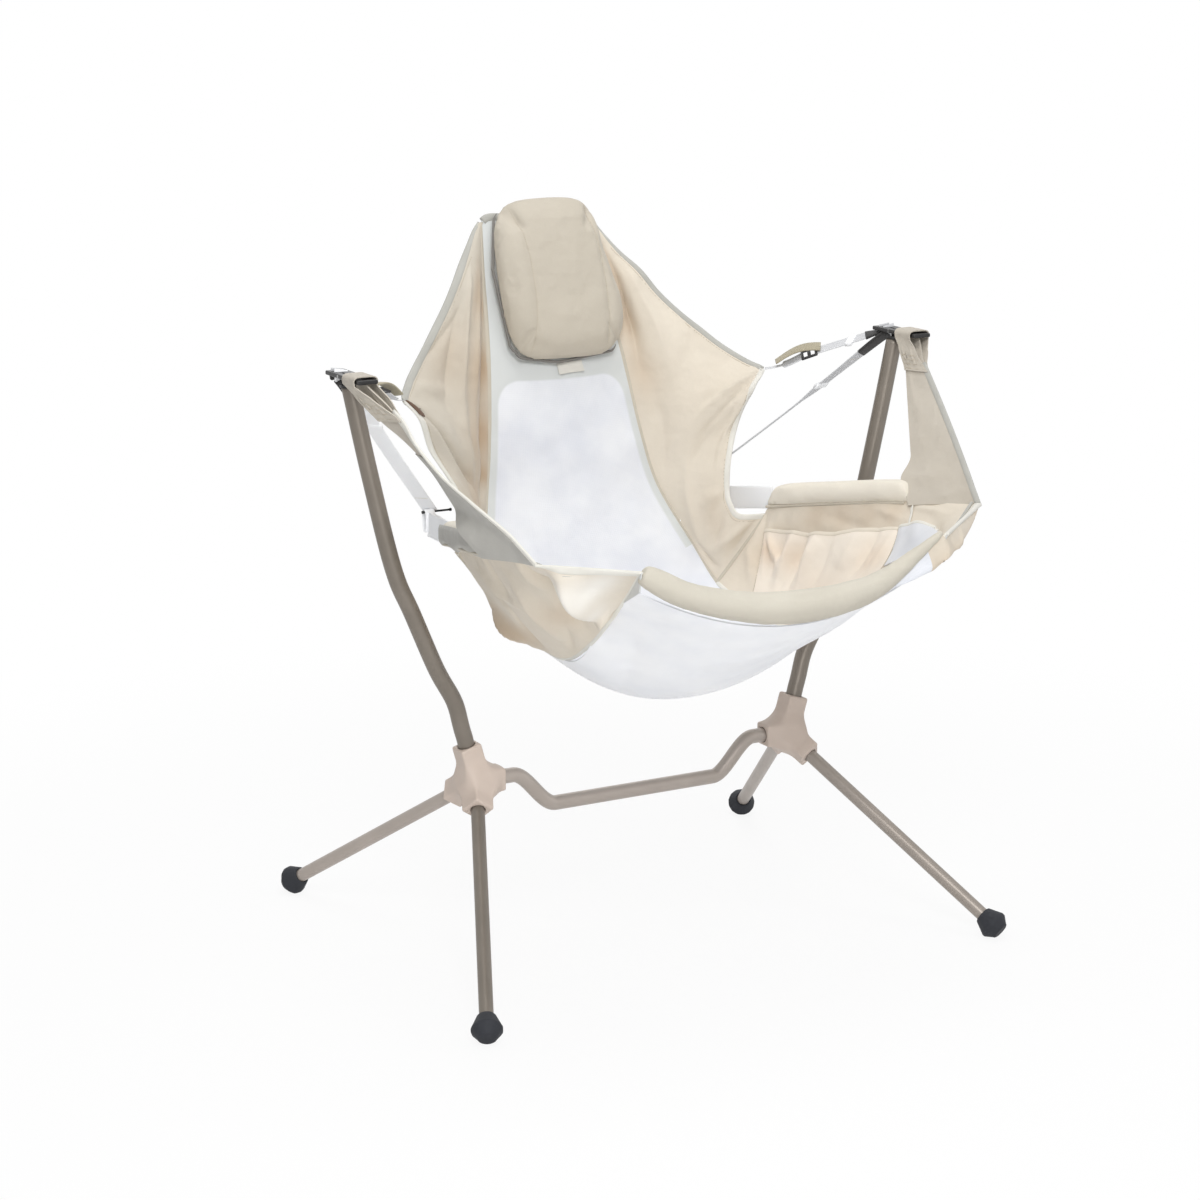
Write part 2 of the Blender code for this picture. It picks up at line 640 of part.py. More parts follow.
def make_arm(side, label):
    axis = arm_axis(side, ARM_STEPS)[:ARM_PANEL_STEP + 1]
    axis[-1] += CLEARANCE * unit(axis[-2] - axis[-1])
    heights = np.full(len(axis), PAD_HALF_HEIGHT)
    pad(f"arm_pad_{label}", axis, heights, PAD_HALF_WIDTH, 12, beige, seat)
    grid = side_grid(side)
    sheet(f"side_panel_{label}", inset(grid, SEAM_INSET), FABRIC, beige, seat)

    lifted = grid + side * normals(grid) * (FABRIC + 2 * CLEARANCE)
    rows, columns = (slice(*reach) for reach in POCKET_REACH)
    sheet(f"pocket_{label}", inset(lifted[rows, columns], SEAM_INSET), FABRIC, peach, seat)


for side, label in ((-1, "left"), (1, "right")):
    make_wing(side, label)
    make_arm(side, label)


def make_cup_pocket():
    grid = side_grid(1)
    lifted = grid + normals(grid) * (FABRIC + 2 * CLEARANCE)
    rows, columns = (slice(*reach) for reach in CUP_REACH)
    sheet("cup_pocket", inset(lifted[rows, columns], SEAM_INSET), FABRIC, white_mesh, seat)


make_cup_pocket()


# Straps from the hangers to the sling

def make_straps(side, label):
    pivot = np.array((side * SWING_X, 0, SWING_Z))
    over = np.array((0, 0, BRACKET_THICK / 2 + CLEARANCE))
    under = over * (0, 0, 2)

    axis = arm_axis(side, ARM_STEPS)
    base = smooth_rail(axis[ARM_PANEL_STEP:] - (0, 0, PAD_HALF_HEIGHT), 8)
    base[0] += (WEBBING + CLEARANCE) * unit(base[1] - base[0])
    hung = pivot + np.stack((0 * base[:, 0], np.linspace(-FRONT_SLOT_AT + FRONT_STRAP_WIDTH / 2,
                                                         -FRONT_SLOT_AT - FRONT_STRAP_WIDTH / 2, 9),
                             0 * base[:, 0]), axis=1)
    share = np.linspace(0, 1, 9)[:, None, None]
    panel = (hung - under)[None] * (1 - share) + base[None] * share
    panel[:, -1] += np.sin(pi * share[:, 0]) * (side * ARM_PANEL_FLARE, -ARM_PANEL_FLARE, 0)
    panel = np.concatenate(((hung + over)[None], panel))
    sheet(f"arm_panel_{label}", panel, WEBBING, beige, seat)

    joint = mirrored(STRAP_JOINT, side)
    slot = pivot + (0, REAR_SLOTS_AT[0], 0)
    along = spline(np.array((slot - under, joint)), np.linspace(0.08, 0.97, 5))
    down = np.vstack((slot + over, slot - under, along))
    ways = np.array([(side, 0, 0)] * 2 + [(side, 0.5, 0)] + [(side, 1, 0)] * 4, float)
    strip(f"rear_webbing_{label}", down, ways, REAR_STRAP_WIDTH, WEBBING, webbing, seat)

    hook_start = down[-1] - (0, 0, WEBBING / 2 + CLEARANCE + HOOK_RADIUS)
    hook_end = hook_start + (side * HOOK_LENGTH * HOOK_OUTER_SHARE, 0, 0)
    hook = bpy.data.objects.new("hook", rod_mesh("hook", hook_end, hook_end - (side * HOOK_LENGTH, 0, 0),
                                                 HOOK_RADIUS, HOOK_RADIUS, 10))
    parts.objects.link(hook)
    place(hook, f"strap_hook_{label}", black, seat)

    pad_end = axis[0] + unit(axis[0] - axis[1]) * (WEBBING / 2 + CLEARANCE)
    sewn = mirrored(spline(STATIONS[:, :3], np.array((BAND_SEAM_STATION,)))[0], side)
    sewn = sewn + (side * FABRIC, 2.5 * FABRIC, -FABRIC)
    band_joint = hook_start - (0, 0, HOOK_RADIUS + CLEARANCE + ARM_BAND_WIDTH / 2)
    band = smooth_rail((pad_end, (pad_end + band_joint) / 2, band_joint, sewn), 12)
    strip(f"arm_band_{label}", band, np.tile((0, 0.0, 1.0), (13, 1)), ARM_BAND_WIDTH, WEBBING, webbing, seat)

    slot = pivot + (0, REAR_SLOTS_AT[1], 0)
    corner = mirrored(WING_SIDE[0], side)
    run = corner - slot
    ways = np.array([(side, 0, 0)] * 2 + [(side, 1.2, 0)] * 3, float)
    stop = slot + run * ADJUSTER_SHARE - unit(run) * (ADJUSTER_SIZE[0] / 2 + CLEARANCE)
    along = spline(np.array((slot - under, stop)), np.array((0.15, 0.6, 1)))
    down = np.vstack((slot + over, slot - under, along))
    strip(f"back_webbing_{label}", down, ways, REAR_STRAP_WIDTH, WEBBING, webbing, seat)

    middle = slot + run * ADJUSTER_SHARE
    strip(f"strap_adjuster_{label}", (middle - unit(run) * ADJUSTER_SIZE[0] / 2, middle,
                                      middle + unit(run) * ADJUSTER_SIZE[0] / 2),
          np.tile((side, 1.2, 0), (3, 1)), ADJUSTER_SIZE[1], ADJUSTER_SIZE[2], black, seat)
    start = middle + unit(run) * (ADJUSTER_SIZE[0] / 2 + CLEARANCE)
    strip(f"corner_strap_{label}", np.linspace(start, corner, 4),
          np.tile((side, 1.2, 0), (4, 1)), REAR_STRAP_WIDTH / 2, WEBBING, webbing, seat)
    lift = np.array((0, 0, ADJUSTER_SIZE[2] / 2 + WEBBING))
    tab = start + lift + np.outer(np.linspace(-0.2, 0.8, 5), unit(run) * PULL_TAB_LENGTH)
    tab[:, 2] += 0.10 * PULL_TAB_LENGTH * np.sin(pi * np.linspace(0, 1, 5))
    strip(f"pull_tab_{label}", tab, np.tile((side, 1.2, 0), (5, 1)), REAR_STRAP_WIDTH, WEBBING, beige, seat)


for side, label in ((-1, "left"), (1, "right")):
    make_straps(side, label)


# Cushions

def make_lip():
    """The roll along the front edge, standing on the seat panel's front edge."""
    s = np.linspace(-0.975, 0.975, 25)
    edge = strip_between_seams(LIP_STATION, LIP_STATION, 0, 24)[0]
    reach = np.linspace(-1, 1, 25)
    edge = np.stack([np.interp(s, reach, edge[:, k]) for k in range(3)], axis=1)
    heights = LIP_HALF_HEIGHT - LIP_END_DROP * s ** 2
    axis = edge + np.stack((0 * s, 0 * s - LIP_FORWARD, heights), axis=1)
    pad("lip_pad", axis, heights, LIP_HALF_THICK, 12, beige, seat)


def make_pillow():
    """A crowned head cushion with two sewn lines, flat where it lies on the back."""
    size = 16
    a, b = np.meshgrid(np.linspace(-1, 1, size + 1), np.linspace(-1, 1, size + 1), indexing="ij")
    x = a * np.sqrt(1 - PILLOW_ROUNDING * b * b)
    y = b * np.sqrt(1 - PILLOW_ROUNDING * a * a)
    wide = PILLOW_HALF_WIDTH * (1 - PILLOW_TAPER * np.clip(y, 0, 1) ** 2)
    low = middle_rail(PILLOW_STATION, PILLOW_STATION, 0)[0]
    high = middle_rail(HEAD_STATION, HEAD_STATION, 0)[0]
    up = unit(high - low)
    out = np.cross(up, (1, 0, 0))
    out = out if out[1] < 0 else -out
    centre = low + up * (PILLOW_HALF_LENGTH - PILLOW_OVERHANG) + out * PILLOW_STANDOFF
    flat = centre + (x * wide)[:, :, None] * (1, 0, 0) + (y * PILLOW_HALF_LENGTH)[:, :, None] * up
    crown = np.sqrt(np.clip((1 - a ** 4) * (1 - b ** 4), 0, 1))
    sewn = np.exp(-((np.abs(a) - PILLOW_SEAM_AT) / PILLOW_SEAM_WIDTH) ** 2) * PILLOW_SEAM_DEPTH
    front = flat + out * (crown * PILLOW_CROWN - sewn * crown)[:, :, None]
    back = flat - out * (crown * PILLOW_BACK)[:, :, None]
    rows = size + 1
    index = np.arange(rows * rows).reshape(rows, rows)
    other = index + rows * rows
    rim = np.zeros((rows, rows), bool)
    rim[0] = rim[-1] = rim[:, 0] = rim[:, -1] = True
    other = np.where(rim, index, other)
    points = np.vstack((front.reshape(-1, 3), back.reshape(-1, 3)))
    faces = []
    for grid in (index, other[:, ::-1]):
        quads = np.stack((grid[:-1, :-1], grid[1:, :-1], grid[1:, 1:], grid[:-1, 1:]), axis=-1)
        faces += [tuple(map(int, quad)) for quad in quads.reshape(-1, 4)]
    used = np.unique(np.array(faces))
    place_of = {int(old): new for new, old in enumerate(used)}
    faces = [tuple(place_of[i] for i in face) for face in faces]
    mesh_object("headrest_pillow", points[used], faces, beige, seat)


def make_tag():
    """A bare sewn tag on the back, just under the head cushion."""
    line = middle_rail(*TAG_STATIONS, 2)
    line = line + (0, -(FABRIC + TAG_THICK) / 2 - 3 * CLEARANCE, 0)
    strip("plain_tag", line, np.tile((1, 0, 0), (3, 1)), TAG_WIDTH, TAG_THICK, webbing, seat)


make_lip()
make_pillow()
make_tag()
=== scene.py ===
import json
import bpy
import numpy as np
from math import cos, pi, radians, sin
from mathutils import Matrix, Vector


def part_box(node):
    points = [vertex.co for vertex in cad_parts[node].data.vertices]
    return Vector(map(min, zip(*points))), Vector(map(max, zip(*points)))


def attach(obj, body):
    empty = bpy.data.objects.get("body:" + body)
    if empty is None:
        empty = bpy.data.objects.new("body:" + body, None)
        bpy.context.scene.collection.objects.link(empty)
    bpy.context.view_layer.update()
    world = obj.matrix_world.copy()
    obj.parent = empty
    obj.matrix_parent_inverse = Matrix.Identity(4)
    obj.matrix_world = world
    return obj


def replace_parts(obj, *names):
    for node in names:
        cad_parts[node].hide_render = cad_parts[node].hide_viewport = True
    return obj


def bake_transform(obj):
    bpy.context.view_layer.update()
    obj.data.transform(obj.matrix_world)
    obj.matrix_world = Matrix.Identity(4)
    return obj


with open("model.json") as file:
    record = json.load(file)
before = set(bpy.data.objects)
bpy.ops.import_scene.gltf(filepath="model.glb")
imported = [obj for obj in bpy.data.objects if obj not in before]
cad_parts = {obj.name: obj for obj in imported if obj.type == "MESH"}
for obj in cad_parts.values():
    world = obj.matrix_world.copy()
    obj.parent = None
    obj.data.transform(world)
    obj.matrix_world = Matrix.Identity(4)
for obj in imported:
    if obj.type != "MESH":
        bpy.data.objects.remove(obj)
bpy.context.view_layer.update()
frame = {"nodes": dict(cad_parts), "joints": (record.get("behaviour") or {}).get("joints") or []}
scene = bpy.context.scene
rootY = [j for j in frame["joints"] if j["name"] == "seat_swing"][0]["pos_m"][1]    # the upright plane
print("frame loaded, upright plane at y =", round(rootY, 4))


# Rails and panels, in metres from the upright plane. Right is +X, the sitter faces -Y.

sling = {
    # from the head to the lip: seam x, y, z, then middle y, z
    "stations": np.array((
        (0.090, 0.316, 1.020, 0.312, 1.034), (0.102, 0.282, 0.915, 0.276, 0.920),
        (0.115, 0.245, 0.812, 0.236, 0.815), (0.131, 0.214, 0.692, 0.206, 0.700),
        (0.148, 0.190, 0.613, 0.180, 0.610), (0.178, 0.135, 0.530, 0.118, 0.500),
        (0.186, 0.075, 0.480, 0.060, 0.428), (0.186, 0.000, 0.462, 0.000, 0.385),
        (0.186, -0.100, 0.452, -0.090, 0.363), (0.196, -0.190, 0.472, -0.190, 0.390),
        (0.206, -0.285, 0.553, -0.310, 0.465), (0.238, -0.425, 0.618, -0.442, 0.551))),
    "head": 0, "crease": 5, "lip": 11,
    "wingSeam": (0.01, 3, 6),       # the wing's tip, its corner and its foot along the seam
    "wingTop": ((0.0935, 0.3158, 1.0185), (0.1035, 0.3125, 1.0085), (0.1180, 0.304, 0.988), (0.1375, 0.290, 0.963),
                (0.1605, 0.268, 0.937), (0.184, 0.254, 0.904),
                (0.209, 0.238, 0.876), (0.236, 0.217, 0.850), (0.262, 0.198, 0.825), (0.288, 0.171, 0.804),
                (0.305, 0.139, 0.791)),
    "wingSide": ((0.305, 0.139, 0.791), (0.281, 0.133, 0.762), (0.260, 0.142, 0.712), (0.232, 0.119, 0.656),
                 (0.2236, 0.108, 0.614), (0.2187, 0.088, 0.595), (0.2245, 0.074, 0.5815), (0.262, 0.060, 0.5805)),
    "wingBow": 0.010,
    "armAxis": ((0.273, 0.055, 0.6105), (0.302, -0.040, 0.628), (0.340, -0.170, 0.650)),
    "armFront": {1: (0.376, -0.325, 0.672), -1: (0.347, -0.349, 0.668)},        # the cloth hangs further in on the left
    "padShare": 0.65,               # the arm pad ends here along the arm, and the strap's panel begins
    "padHalfHeight": 0.0185,
    # the side panel's top edge from the arm's axis, tucked into the pad
    "tuck": ((-0.0070, -0.008, -0.0150), (-0.0105, 0, -0.0130), (-0.0105, 0, -0.0135), (0, 0, -0.0180)),
    "sideFrontStation": 10.5,
    "sideFrontTop": (0.2405, -0.434, 0.646),
    "sideBow": 0.016,
}


def unit(vector):
    vector = np.asarray(vector, float)
    return vector / np.linalg.norm(vector, axis=-1, keepdims=True)


def smoothRise(distance, reach):
    # an ease from 0 to 1: t^2 (3 - 2 t)
    t = np.clip(distance / reach, 0, 1)
    return t * t * (3 - 2 * t)


def through(points, at):
    # Catmull-Rom curve through the points, read at station numbers
    points, at = np.asarray(points, float), np.asarray(at, float)
    ends = np.vstack((2 * points[0] - points[1], points, 2 * points[-1] - points[-2]))
    first = np.clip(np.floor(at).astype(int), 0, len(points) - 2)
    t = (at - first)[:, None]
    a, b, c, d = (ends[first + k] for k in range(4))
    bend = (2 * a - 5 * b + 4 * c - d) * t ** 2 + (3 * b - 3 * c + d - a) * t ** 3
    return b + ((c - a) * t + bend) / 2


def runOf(line):
    # length along a line at each of its points
    return np.concatenate(((0,), np.cumsum(np.linalg.norm(np.diff(line, axis=0), axis=1))))


def respaced(line, count):
    # the line at even steps of length
    run = runOf(line)
    steps = np.linspace(0, run[-1], count + 1)
    return np.stack([np.interp(steps, run, line[:, k]) for k in range(line.shape[1])], axis=1)


def evenly(points, count):
    points = np.asarray(points, float)
    return respaced(through(points, np.linspace(0, len(points) - 1, 12 * count + 1)), count)


def sided(points, side):
    return np.asarray(points, float) * (side, 1, 1)


def gridNormals(grid):
    # the cross product of the grid's two slopes
    return unit(np.cross(np.gradient(grid, axis=0), np.gradient(grid, axis=1)))


def seamRail(start, end, count, side):
    return sided(through(sling["stations"][:, :3], np.linspace(start, end, count + 1)), side)


def middleRail(start, end, count):
    rows = sling["stations"]
    return through(np.column_stack((0 * rows[:, 3], rows[:, 3:])), np.linspace(start, end, count + 1))


def middlePanel(start, end, rows, columns, arch=(0.0, 0.0)):
    # a parabola across from seam to seam through the middle line: middle (1 - s^2) + seam s^2;
    # the start may drop in the middle and rise just inside the seams
    s = np.linspace(-1, 1, columns + 1)
    first = start + arch[0] * (1 - s ** 2) ** 2 - arch[1] * s ** 4 * (1 - s ** 8)
    at = first + (end - first) * np.linspace(0, 1, rows + 1)[:, None]
    x, seamY, seamZ, y, z = np.moveaxis(through(sling["stations"], at.ravel()).reshape(*at.shape, 5), -1, 0)
    return np.stack((x * s, y * (1 - s ** 2) + seamY * s ** 2, z * (1 - s ** 2) + seamZ * s ** 2), axis=-1)


def between(railA, railB, columns, bow):
    # straight lines from rail to rail, bowed along the normal and flat at the edges
    share = np.linspace(0, 1, columns + 1)[None, :, None]
    along = np.linspace(0, 1, len(railA))[:, None, None]
    grid = railA[:, None] * (1 - share) + railB[:, None] * share
    return grid + gridNormals(grid) * bow * np.sin(pi * share) * np.sqrt(np.abs(np.sin(pi * along)))


def wingGrid(side, rows, columns):
    # rows run down the seam, columns from the seam to the free edge
    tip, corner, foot = sling["wingSeam"]
    upper = rows * 9 // 20
    seam = np.vstack((seamRail(tip, corner, upper, side), seamRail(corner, foot, rows - upper, side)[1:]))
    edge = np.vstack((evenly(sided(sling["wingTop"], side), upper),
                      evenly(sided(sling["wingSide"], side), rows - upper)[1:]))
    return between(seam, edge, columns, side * sling["wingBow"])


def armPoints(side):
    return sided((*sling["armAxis"], sling["armFront"][side]), side)


def armLine(side, count):
    return evenly(armPoints(side), count)


def sideGrid(side, rows, columns):
    # rows run from the back to the front, columns from the seat's seam up to the armrest
    seam = seamRail(sling["wingSeam"][2], sling["sideFrontStation"], 16, side)
    seam = evenly(np.vstack((seam[::4], sided(sling["sideFrontTop"], side)[None])), rows)
    under = armPoints(side) + sided(sling["tuck"], side)
    top = evenly(np.vstack((sided(sling["wingSide"][-1], side)[None], under)), rows)
    return between(seam, top, columns, -side * sling["sideBow"])


# the stuffed lip, from left to right across the front edge: full in the middle, thin and lifted at the right end

lipLook = {"reach": (-1.0, -0.55, 0.0, 0.42, 0.68, 0.85, 1.0), "halfHeights": (0.0165, 0.0225, 0.0255, 0.0215, 0.0125, 0.0075, 0.0045),
           "lift": {-1: (0.004, 0.75, 0.25), 1: (0.022, 0.38, 0.62)},       # height at the end, then where it starts and its run
           "halfThick": 0.0125, "forward": 0.0047, "voxel": 0.0045, "cap": 0.003, "fill": 0.75}


def lipRise(s):
    rise = 0 * s
    for side, (height, start, run) in lipLook["lift"].items():
        rise = rise + height * smoothRise(side * s - start, run)
    return rise


def lipLine(s):
    # the roll's axis and its half heights at shares -1 to 1 across
    edge = middlePanel(sling["lip"] - 0.001, sling["lip"], 1, 80)[-1]
    edge = np.stack([np.interp(s, np.linspace(-1, 1, 81), edge[:, k]) for k in range(3)], axis=1)
    fine = np.linspace(-1.15, 1.15, 116)
    heights = np.convolve(np.interp(fine, lipLook["reach"], lipLook["halfHeights"]), np.full(13, 1 / 13), "same")
    heights = np.interp(s, fine, heights)
    return edge + np.stack((0 * s, 0 * s - lipLook["forward"], heights + 0.0015 + lipRise(s)), axis=1), heights





# Meshes

def gridFaces(rows, columns, wrap=False):
    # the quads of a grid of points; wrap joins the last column to the first
    index = np.arange(rows * columns).reshape(rows, columns)
    if wrap:
        index = np.concatenate((index, index[:, :1]), axis=1)
    corners = (index[:-1, :-1], index[1:, :-1], index[1:, 1:], index[:-1, 1:])
    return np.stack(corners, axis=-1).reshape(-1, 4)


def newPiece(name, points, faceSets, finish, uv=None, marks=None, closed=False):
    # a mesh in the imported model's frame; a closed one whose volume comes out negative is turned round
    points = np.asarray(points, float).reshape(-1, 3) + (0, rootY, 0)
    triangles = np.vstack([faces[:, (0, k, k + 1)] for faces in faceSets for k in range(1, faces.shape[1] - 1)])
    a, b, c = (points[triangles[:, k]] - points.mean(axis=0) for k in range(3))
    if closed and (np.cross(a, b) * c).sum() < 0:
        faceSets = [faces[:, ::-1] for faces in faceSets]
    mesh = bpy.data.meshes.new(name)
    mesh.from_pydata(points.tolist(), [], [face for faces in faceSets for face in faces.tolist()])
    if uv is not None:
        corners = np.empty(len(mesh.loops), np.int32)
        mesh.loops.foreach_get("vertex_index", corners)
        layer = mesh.uv_layers.new(name="clothMap")
        layer.data.foreach_set("uv", np.asarray(uv, np.float32).reshape(-1, 2)[corners].ravel())
    for mark, values in (marks or {}).items():
        layer = mesh.attributes.new(mark, "FLOAT", "POINT")
        layer.data.foreach_set("value", np.asarray(values, np.float32).ravel())
    mesh.materials.append(finish)
    mesh.shade_smooth()
    piece = bpy.data.objects.new(name, mesh)
    scene.collection.objects.link(piece)
    return piece


def oval(count, halfWidth, halfHeight, power=2.0):
    # a rounded outline: |x / w|^p + |y / h|^p = 1
    turn = np.linspace(0, 2 * pi, count, endpoint=False)
    x, y = np.cos(turn), np.sin(turn)
    return np.stack((halfWidth * np.sign(x) * np.abs(x) ** (2 / power),
                     halfHeight * np.sign(y) * np.abs(y) ** (2 / power)), axis=1)


def carried(path, outline, rise, sizes=1.0):
    # a closed outline carried along a path: path + size (across a + rise b); a fan closes each end
    path = np.asarray(path, float)
    along = unit(np.gradient(path, axis=0))
    across = unit(np.cross(along, np.broadcast_to(np.asarray(rise, float), path.shape)))
    rise = np.cross(across, along)
    sizes = np.broadcast_to(sizes, len(path))[:, None, None]
    rings = path[:, None] + sizes * (outline[None, :, :1] * across[:, None] + outline[None, :, 1:] * rise[:, None])
    count, last = len(outline), (len(path) - 1) * len(outline)
    k = np.arange(count)
    after, ends = (k + 1) % count, np.full(count, len(path) * count)
    caps = np.vstack((np.stack((k, after, ends), 1), np.stack((last + after, last + k, ends + 1), 1)))
    return np.vstack((rings.reshape(-1, 3), path[:1], path[-1:])), [gridFaces(len(path), count, True), caps]


def sweepPiece(name, path, outline, rise, finish, sizes=1.0):
    points, faceSets = carried(path, outline, rise, sizes)
    return newPiece(name, points, faceSets, finish, closed=True)


def netSurface(field, low, pitch):
    # surface nets: a point in each cell that the zero level crosses, at the mean of its edge crossings
    size = np.array(field.shape)
    offsets = np.array([(i, j, k) for i in (0, 1) for j in (0, 1) for k in (0, 1)])
    values = np.stack([field[i:size[0] - 1 + i, j:size[1] - 1 + j, k:size[2] - 1 + k] for i, j, k in offsets], -1)
    crossed = (values.min(-1) < 0) & (values.max(-1) >= 0)
    cells, values = np.argwhere(crossed), values[crossed]
    total, count = np.zeros((len(cells), 3)), np.zeros((len(cells), 1))
    pairs = [(a, b) for a in range(8) for b in range(a + 1, 8) if np.abs(offsets[a] - offsets[b]).sum() == 1]
    for a, b in pairs:
        first, second = values[:, a], values[:, b]
        hit = ((first < 0) != (second < 0))[:, None]
        share = first / np.where(hit[:, 0], first - second, 1)
        total += hit * (offsets[a] + share[:, None] * (offsets[b] - offsets[a]))
        count += hit
    index = np.full(crossed.shape, -1)
    index[crossed] = np.arange(len(cells))
    quads = []
    for axis in range(3):
        one, two = np.eye(3, dtype=int)[(axis + 1) % 3], np.eye(3, dtype=int)[(axis + 2) % 3]
        inside = np.moveaxis(field < 0, axis, 0)
        edges = np.moveaxis(inside[:-1] != inside[1:], 0, axis)
        starts = np.moveaxis(inside[:-1], 0, axis)
        at = np.argwhere(edges)
        quad = np.stack([index[tuple((at - step).T)] for step in (0 * one, one, one + two, two)], axis=1)
        turned = starts[edges]
        quad[turned] = quad[turned][:, ::-1]
        quads.append(quad)
    return low + (cells + total / count) * pitch, np.vstack(quads)


def roundBox(points, centre, axes, half, radius):
    # distance to a box with rounded edges
    q = np.abs((points - centre) @ np.asarray(axes, float).T) - (np.asarray(half, float) - radius)
    return np.linalg.norm(np.maximum(q, 0), axis=-1) + np.minimum(q.max(axis=-1), 0) - radius


def softMin(a, b, blend):
    # the lesser of two distances with a fillet between them
    near = np.maximum(blend - np.abs(a - b), 0) / blend
    return np.minimum(a, b) - near * near * blend / 4


def latticeOf(low, high, pitch):
    counts = np.ceil((np.asarray(high) - low) / pitch).astype(int) + 1
    steps = [low[k] + pitch * np.arange(counts[k]) for k in range(3)]
    return np.stack(np.meshgrid(*steps, indexing="ij"), axis=-1)


def foldField(u, v, size, folds):
    # each fold is a ridge between two points of the panel: height exp(-(d / width)^1.5), lower towards its ends
    field = 0 * u
    at = np.stack((u * size[0], v * size[1]), axis=-1)
    for start, end, height, width in folds:
        a, b = np.array(start) * size, np.array(end) * size
        run = b - a
        t = np.clip(((at - a) @ run) / (run @ run), 0, 1)
        away = np.linalg.norm(at - a - t[..., None] * run, axis=-1)
        field = field + height * np.exp(-(away / width) ** 1.5) * (0.35 + 0.65 * np.sin(pi * t))
    return field


def spotField(u, v, size, spots):
    # soft spots: strength exp(-(distance / radius)^2), kept from 0 to 1
    field = 0 * u
    for (atU, atV), radius, strength in spots:
        away = ((u - atU) * size[0]) ** 2 + ((v - atV) * size[1]) ** 2
        field = field + strength * np.exp(-away / radius ** 2)
    return np.clip(field, 0, 1)


def shares(grid):
    return np.meshgrid(np.linspace(0, 1, grid.shape[0]), np.linspace(0, 1, grid.shape[1]), indexing="ij")


def gridSize(grid):
    # middle lengths along the rows and along the columns
    rows, columns = grid.shape[:2]
    return np.array((runOf(grid[:, columns // 2])[-1], runOf(grid[rows // 2])[-1]))


def gridArea(grid):
    a, b = grid[1:, 1:] - grid[:-1, :-1], grid[1:, :-1] - grid[:-1, 1:]
    return float(np.linalg.norm(np.cross(a, b), axis=-1).sum() / 2)


def inset(grid, gap, kept=()):
    # the grid with its four edges drawn in, apart from the first (0) or last (-1) row where kept
    grid = grid.copy()
    for axis in (0, 1):
        rows = np.moveaxis(grid, axis, 0)
        for edge, inner in ((0, 1), (-1, -2)):
            if axis or edge not in kept:
                rows[edge] += gap * unit(rows[inner] - rows[edge])
    return grid


def readGrid(grid, u, v):
    # the grid's surface at shares of its rows and columns, straight between its points
    rows, columns = grid.shape[0] - 1, grid.shape[1] - 1
    i, j = (np.clip((share * count).astype(int), 0, count - 1) for share, count in ((u, rows), (v, columns)))
    s, t = (u * rows - i)[..., None], (v * columns - j)[..., None]
    return ((grid[i, j] * (1 - s) + grid[i + 1, j] * s) * (1 - t) + (grid[i, j + 1] * (1 - s) + grid[i + 1, j + 1] * s) * t)


def relaxed(grid, passes):
    # each point drawn to the mean of its neighbours; the last column only along itself, the other edges kept
    grid = grid.copy()
    for _ in range(passes):
        grid[1:-1, 1:-1] = (grid[:-2, 1:-1] + grid[2:, 1:-1] + grid[1:-1, :-2] + grid[1:-1, 2:]) / 4
        grid[1:-1, -1] = (grid[:-2, -1] + grid[2:, -1]) / 2
    return grid


def clothPiece(name, grid, thickness, finish, marks=None, back=None):
    # a sheet with its own map in metres, given its thickness by Solidify; its other face may have its own finish
    u, v = shares(grid)
    size = gridSize(grid)
    piece = newPiece(name, grid, [gridFaces(*grid.shape[:2])], finish,
                     np.stack((u * size[0], v * size[1]), axis=-1), marks)
    mesh = piece.data
    used = np.empty(len(mesh.loops), np.int32)
    mesh.loops.foreach_get("edge_index", used)
    mesh.edges.foreach_set("use_edge_sharp", np.bincount(used, minlength=len(mesh.edges)) == 1)     # crisp cut edges
    wall = piece.modifiers.new("thickness", "SOLIDIFY")
    wall.thickness, wall.offset = thickness, 0
    if back:
        mesh.materials.append(back)
        wall.material_offset = 1
    return piece


def cutSize(grid):
    # flat size of the sewn panel: its longest row and column, and its area
    across = max(runOf(row)[-1] for row in grid)
    down = max(runOf(column)[-1] for column in np.moveaxis(grid, 1, 0))
    area = gridArea(grid)
    return (round(across, 3), round(down, 3)), round(min(max(area, 0.31 * across * down), across * down), 5)


def declareCloth(grid):
    flat, area = cutSize(grid)


def edgeTape(name, edge, inner, finish, width, thick, sizes=1.0):
    # a folded tape over an edge: a flat oval carried along it, its width lying in the panel
    inward = unit(inner - edge)
    rise = np.cross(unit(np.gradient(edge, axis=0)), inward)
    path = edge + inward * (np.broadcast_to(sizes, len(edge))[:, None] * width - thick) / 2
    return sweepPiece(name, path, oval(12, width / 2, thick / 2, 3.0), rise, finish, sizes)


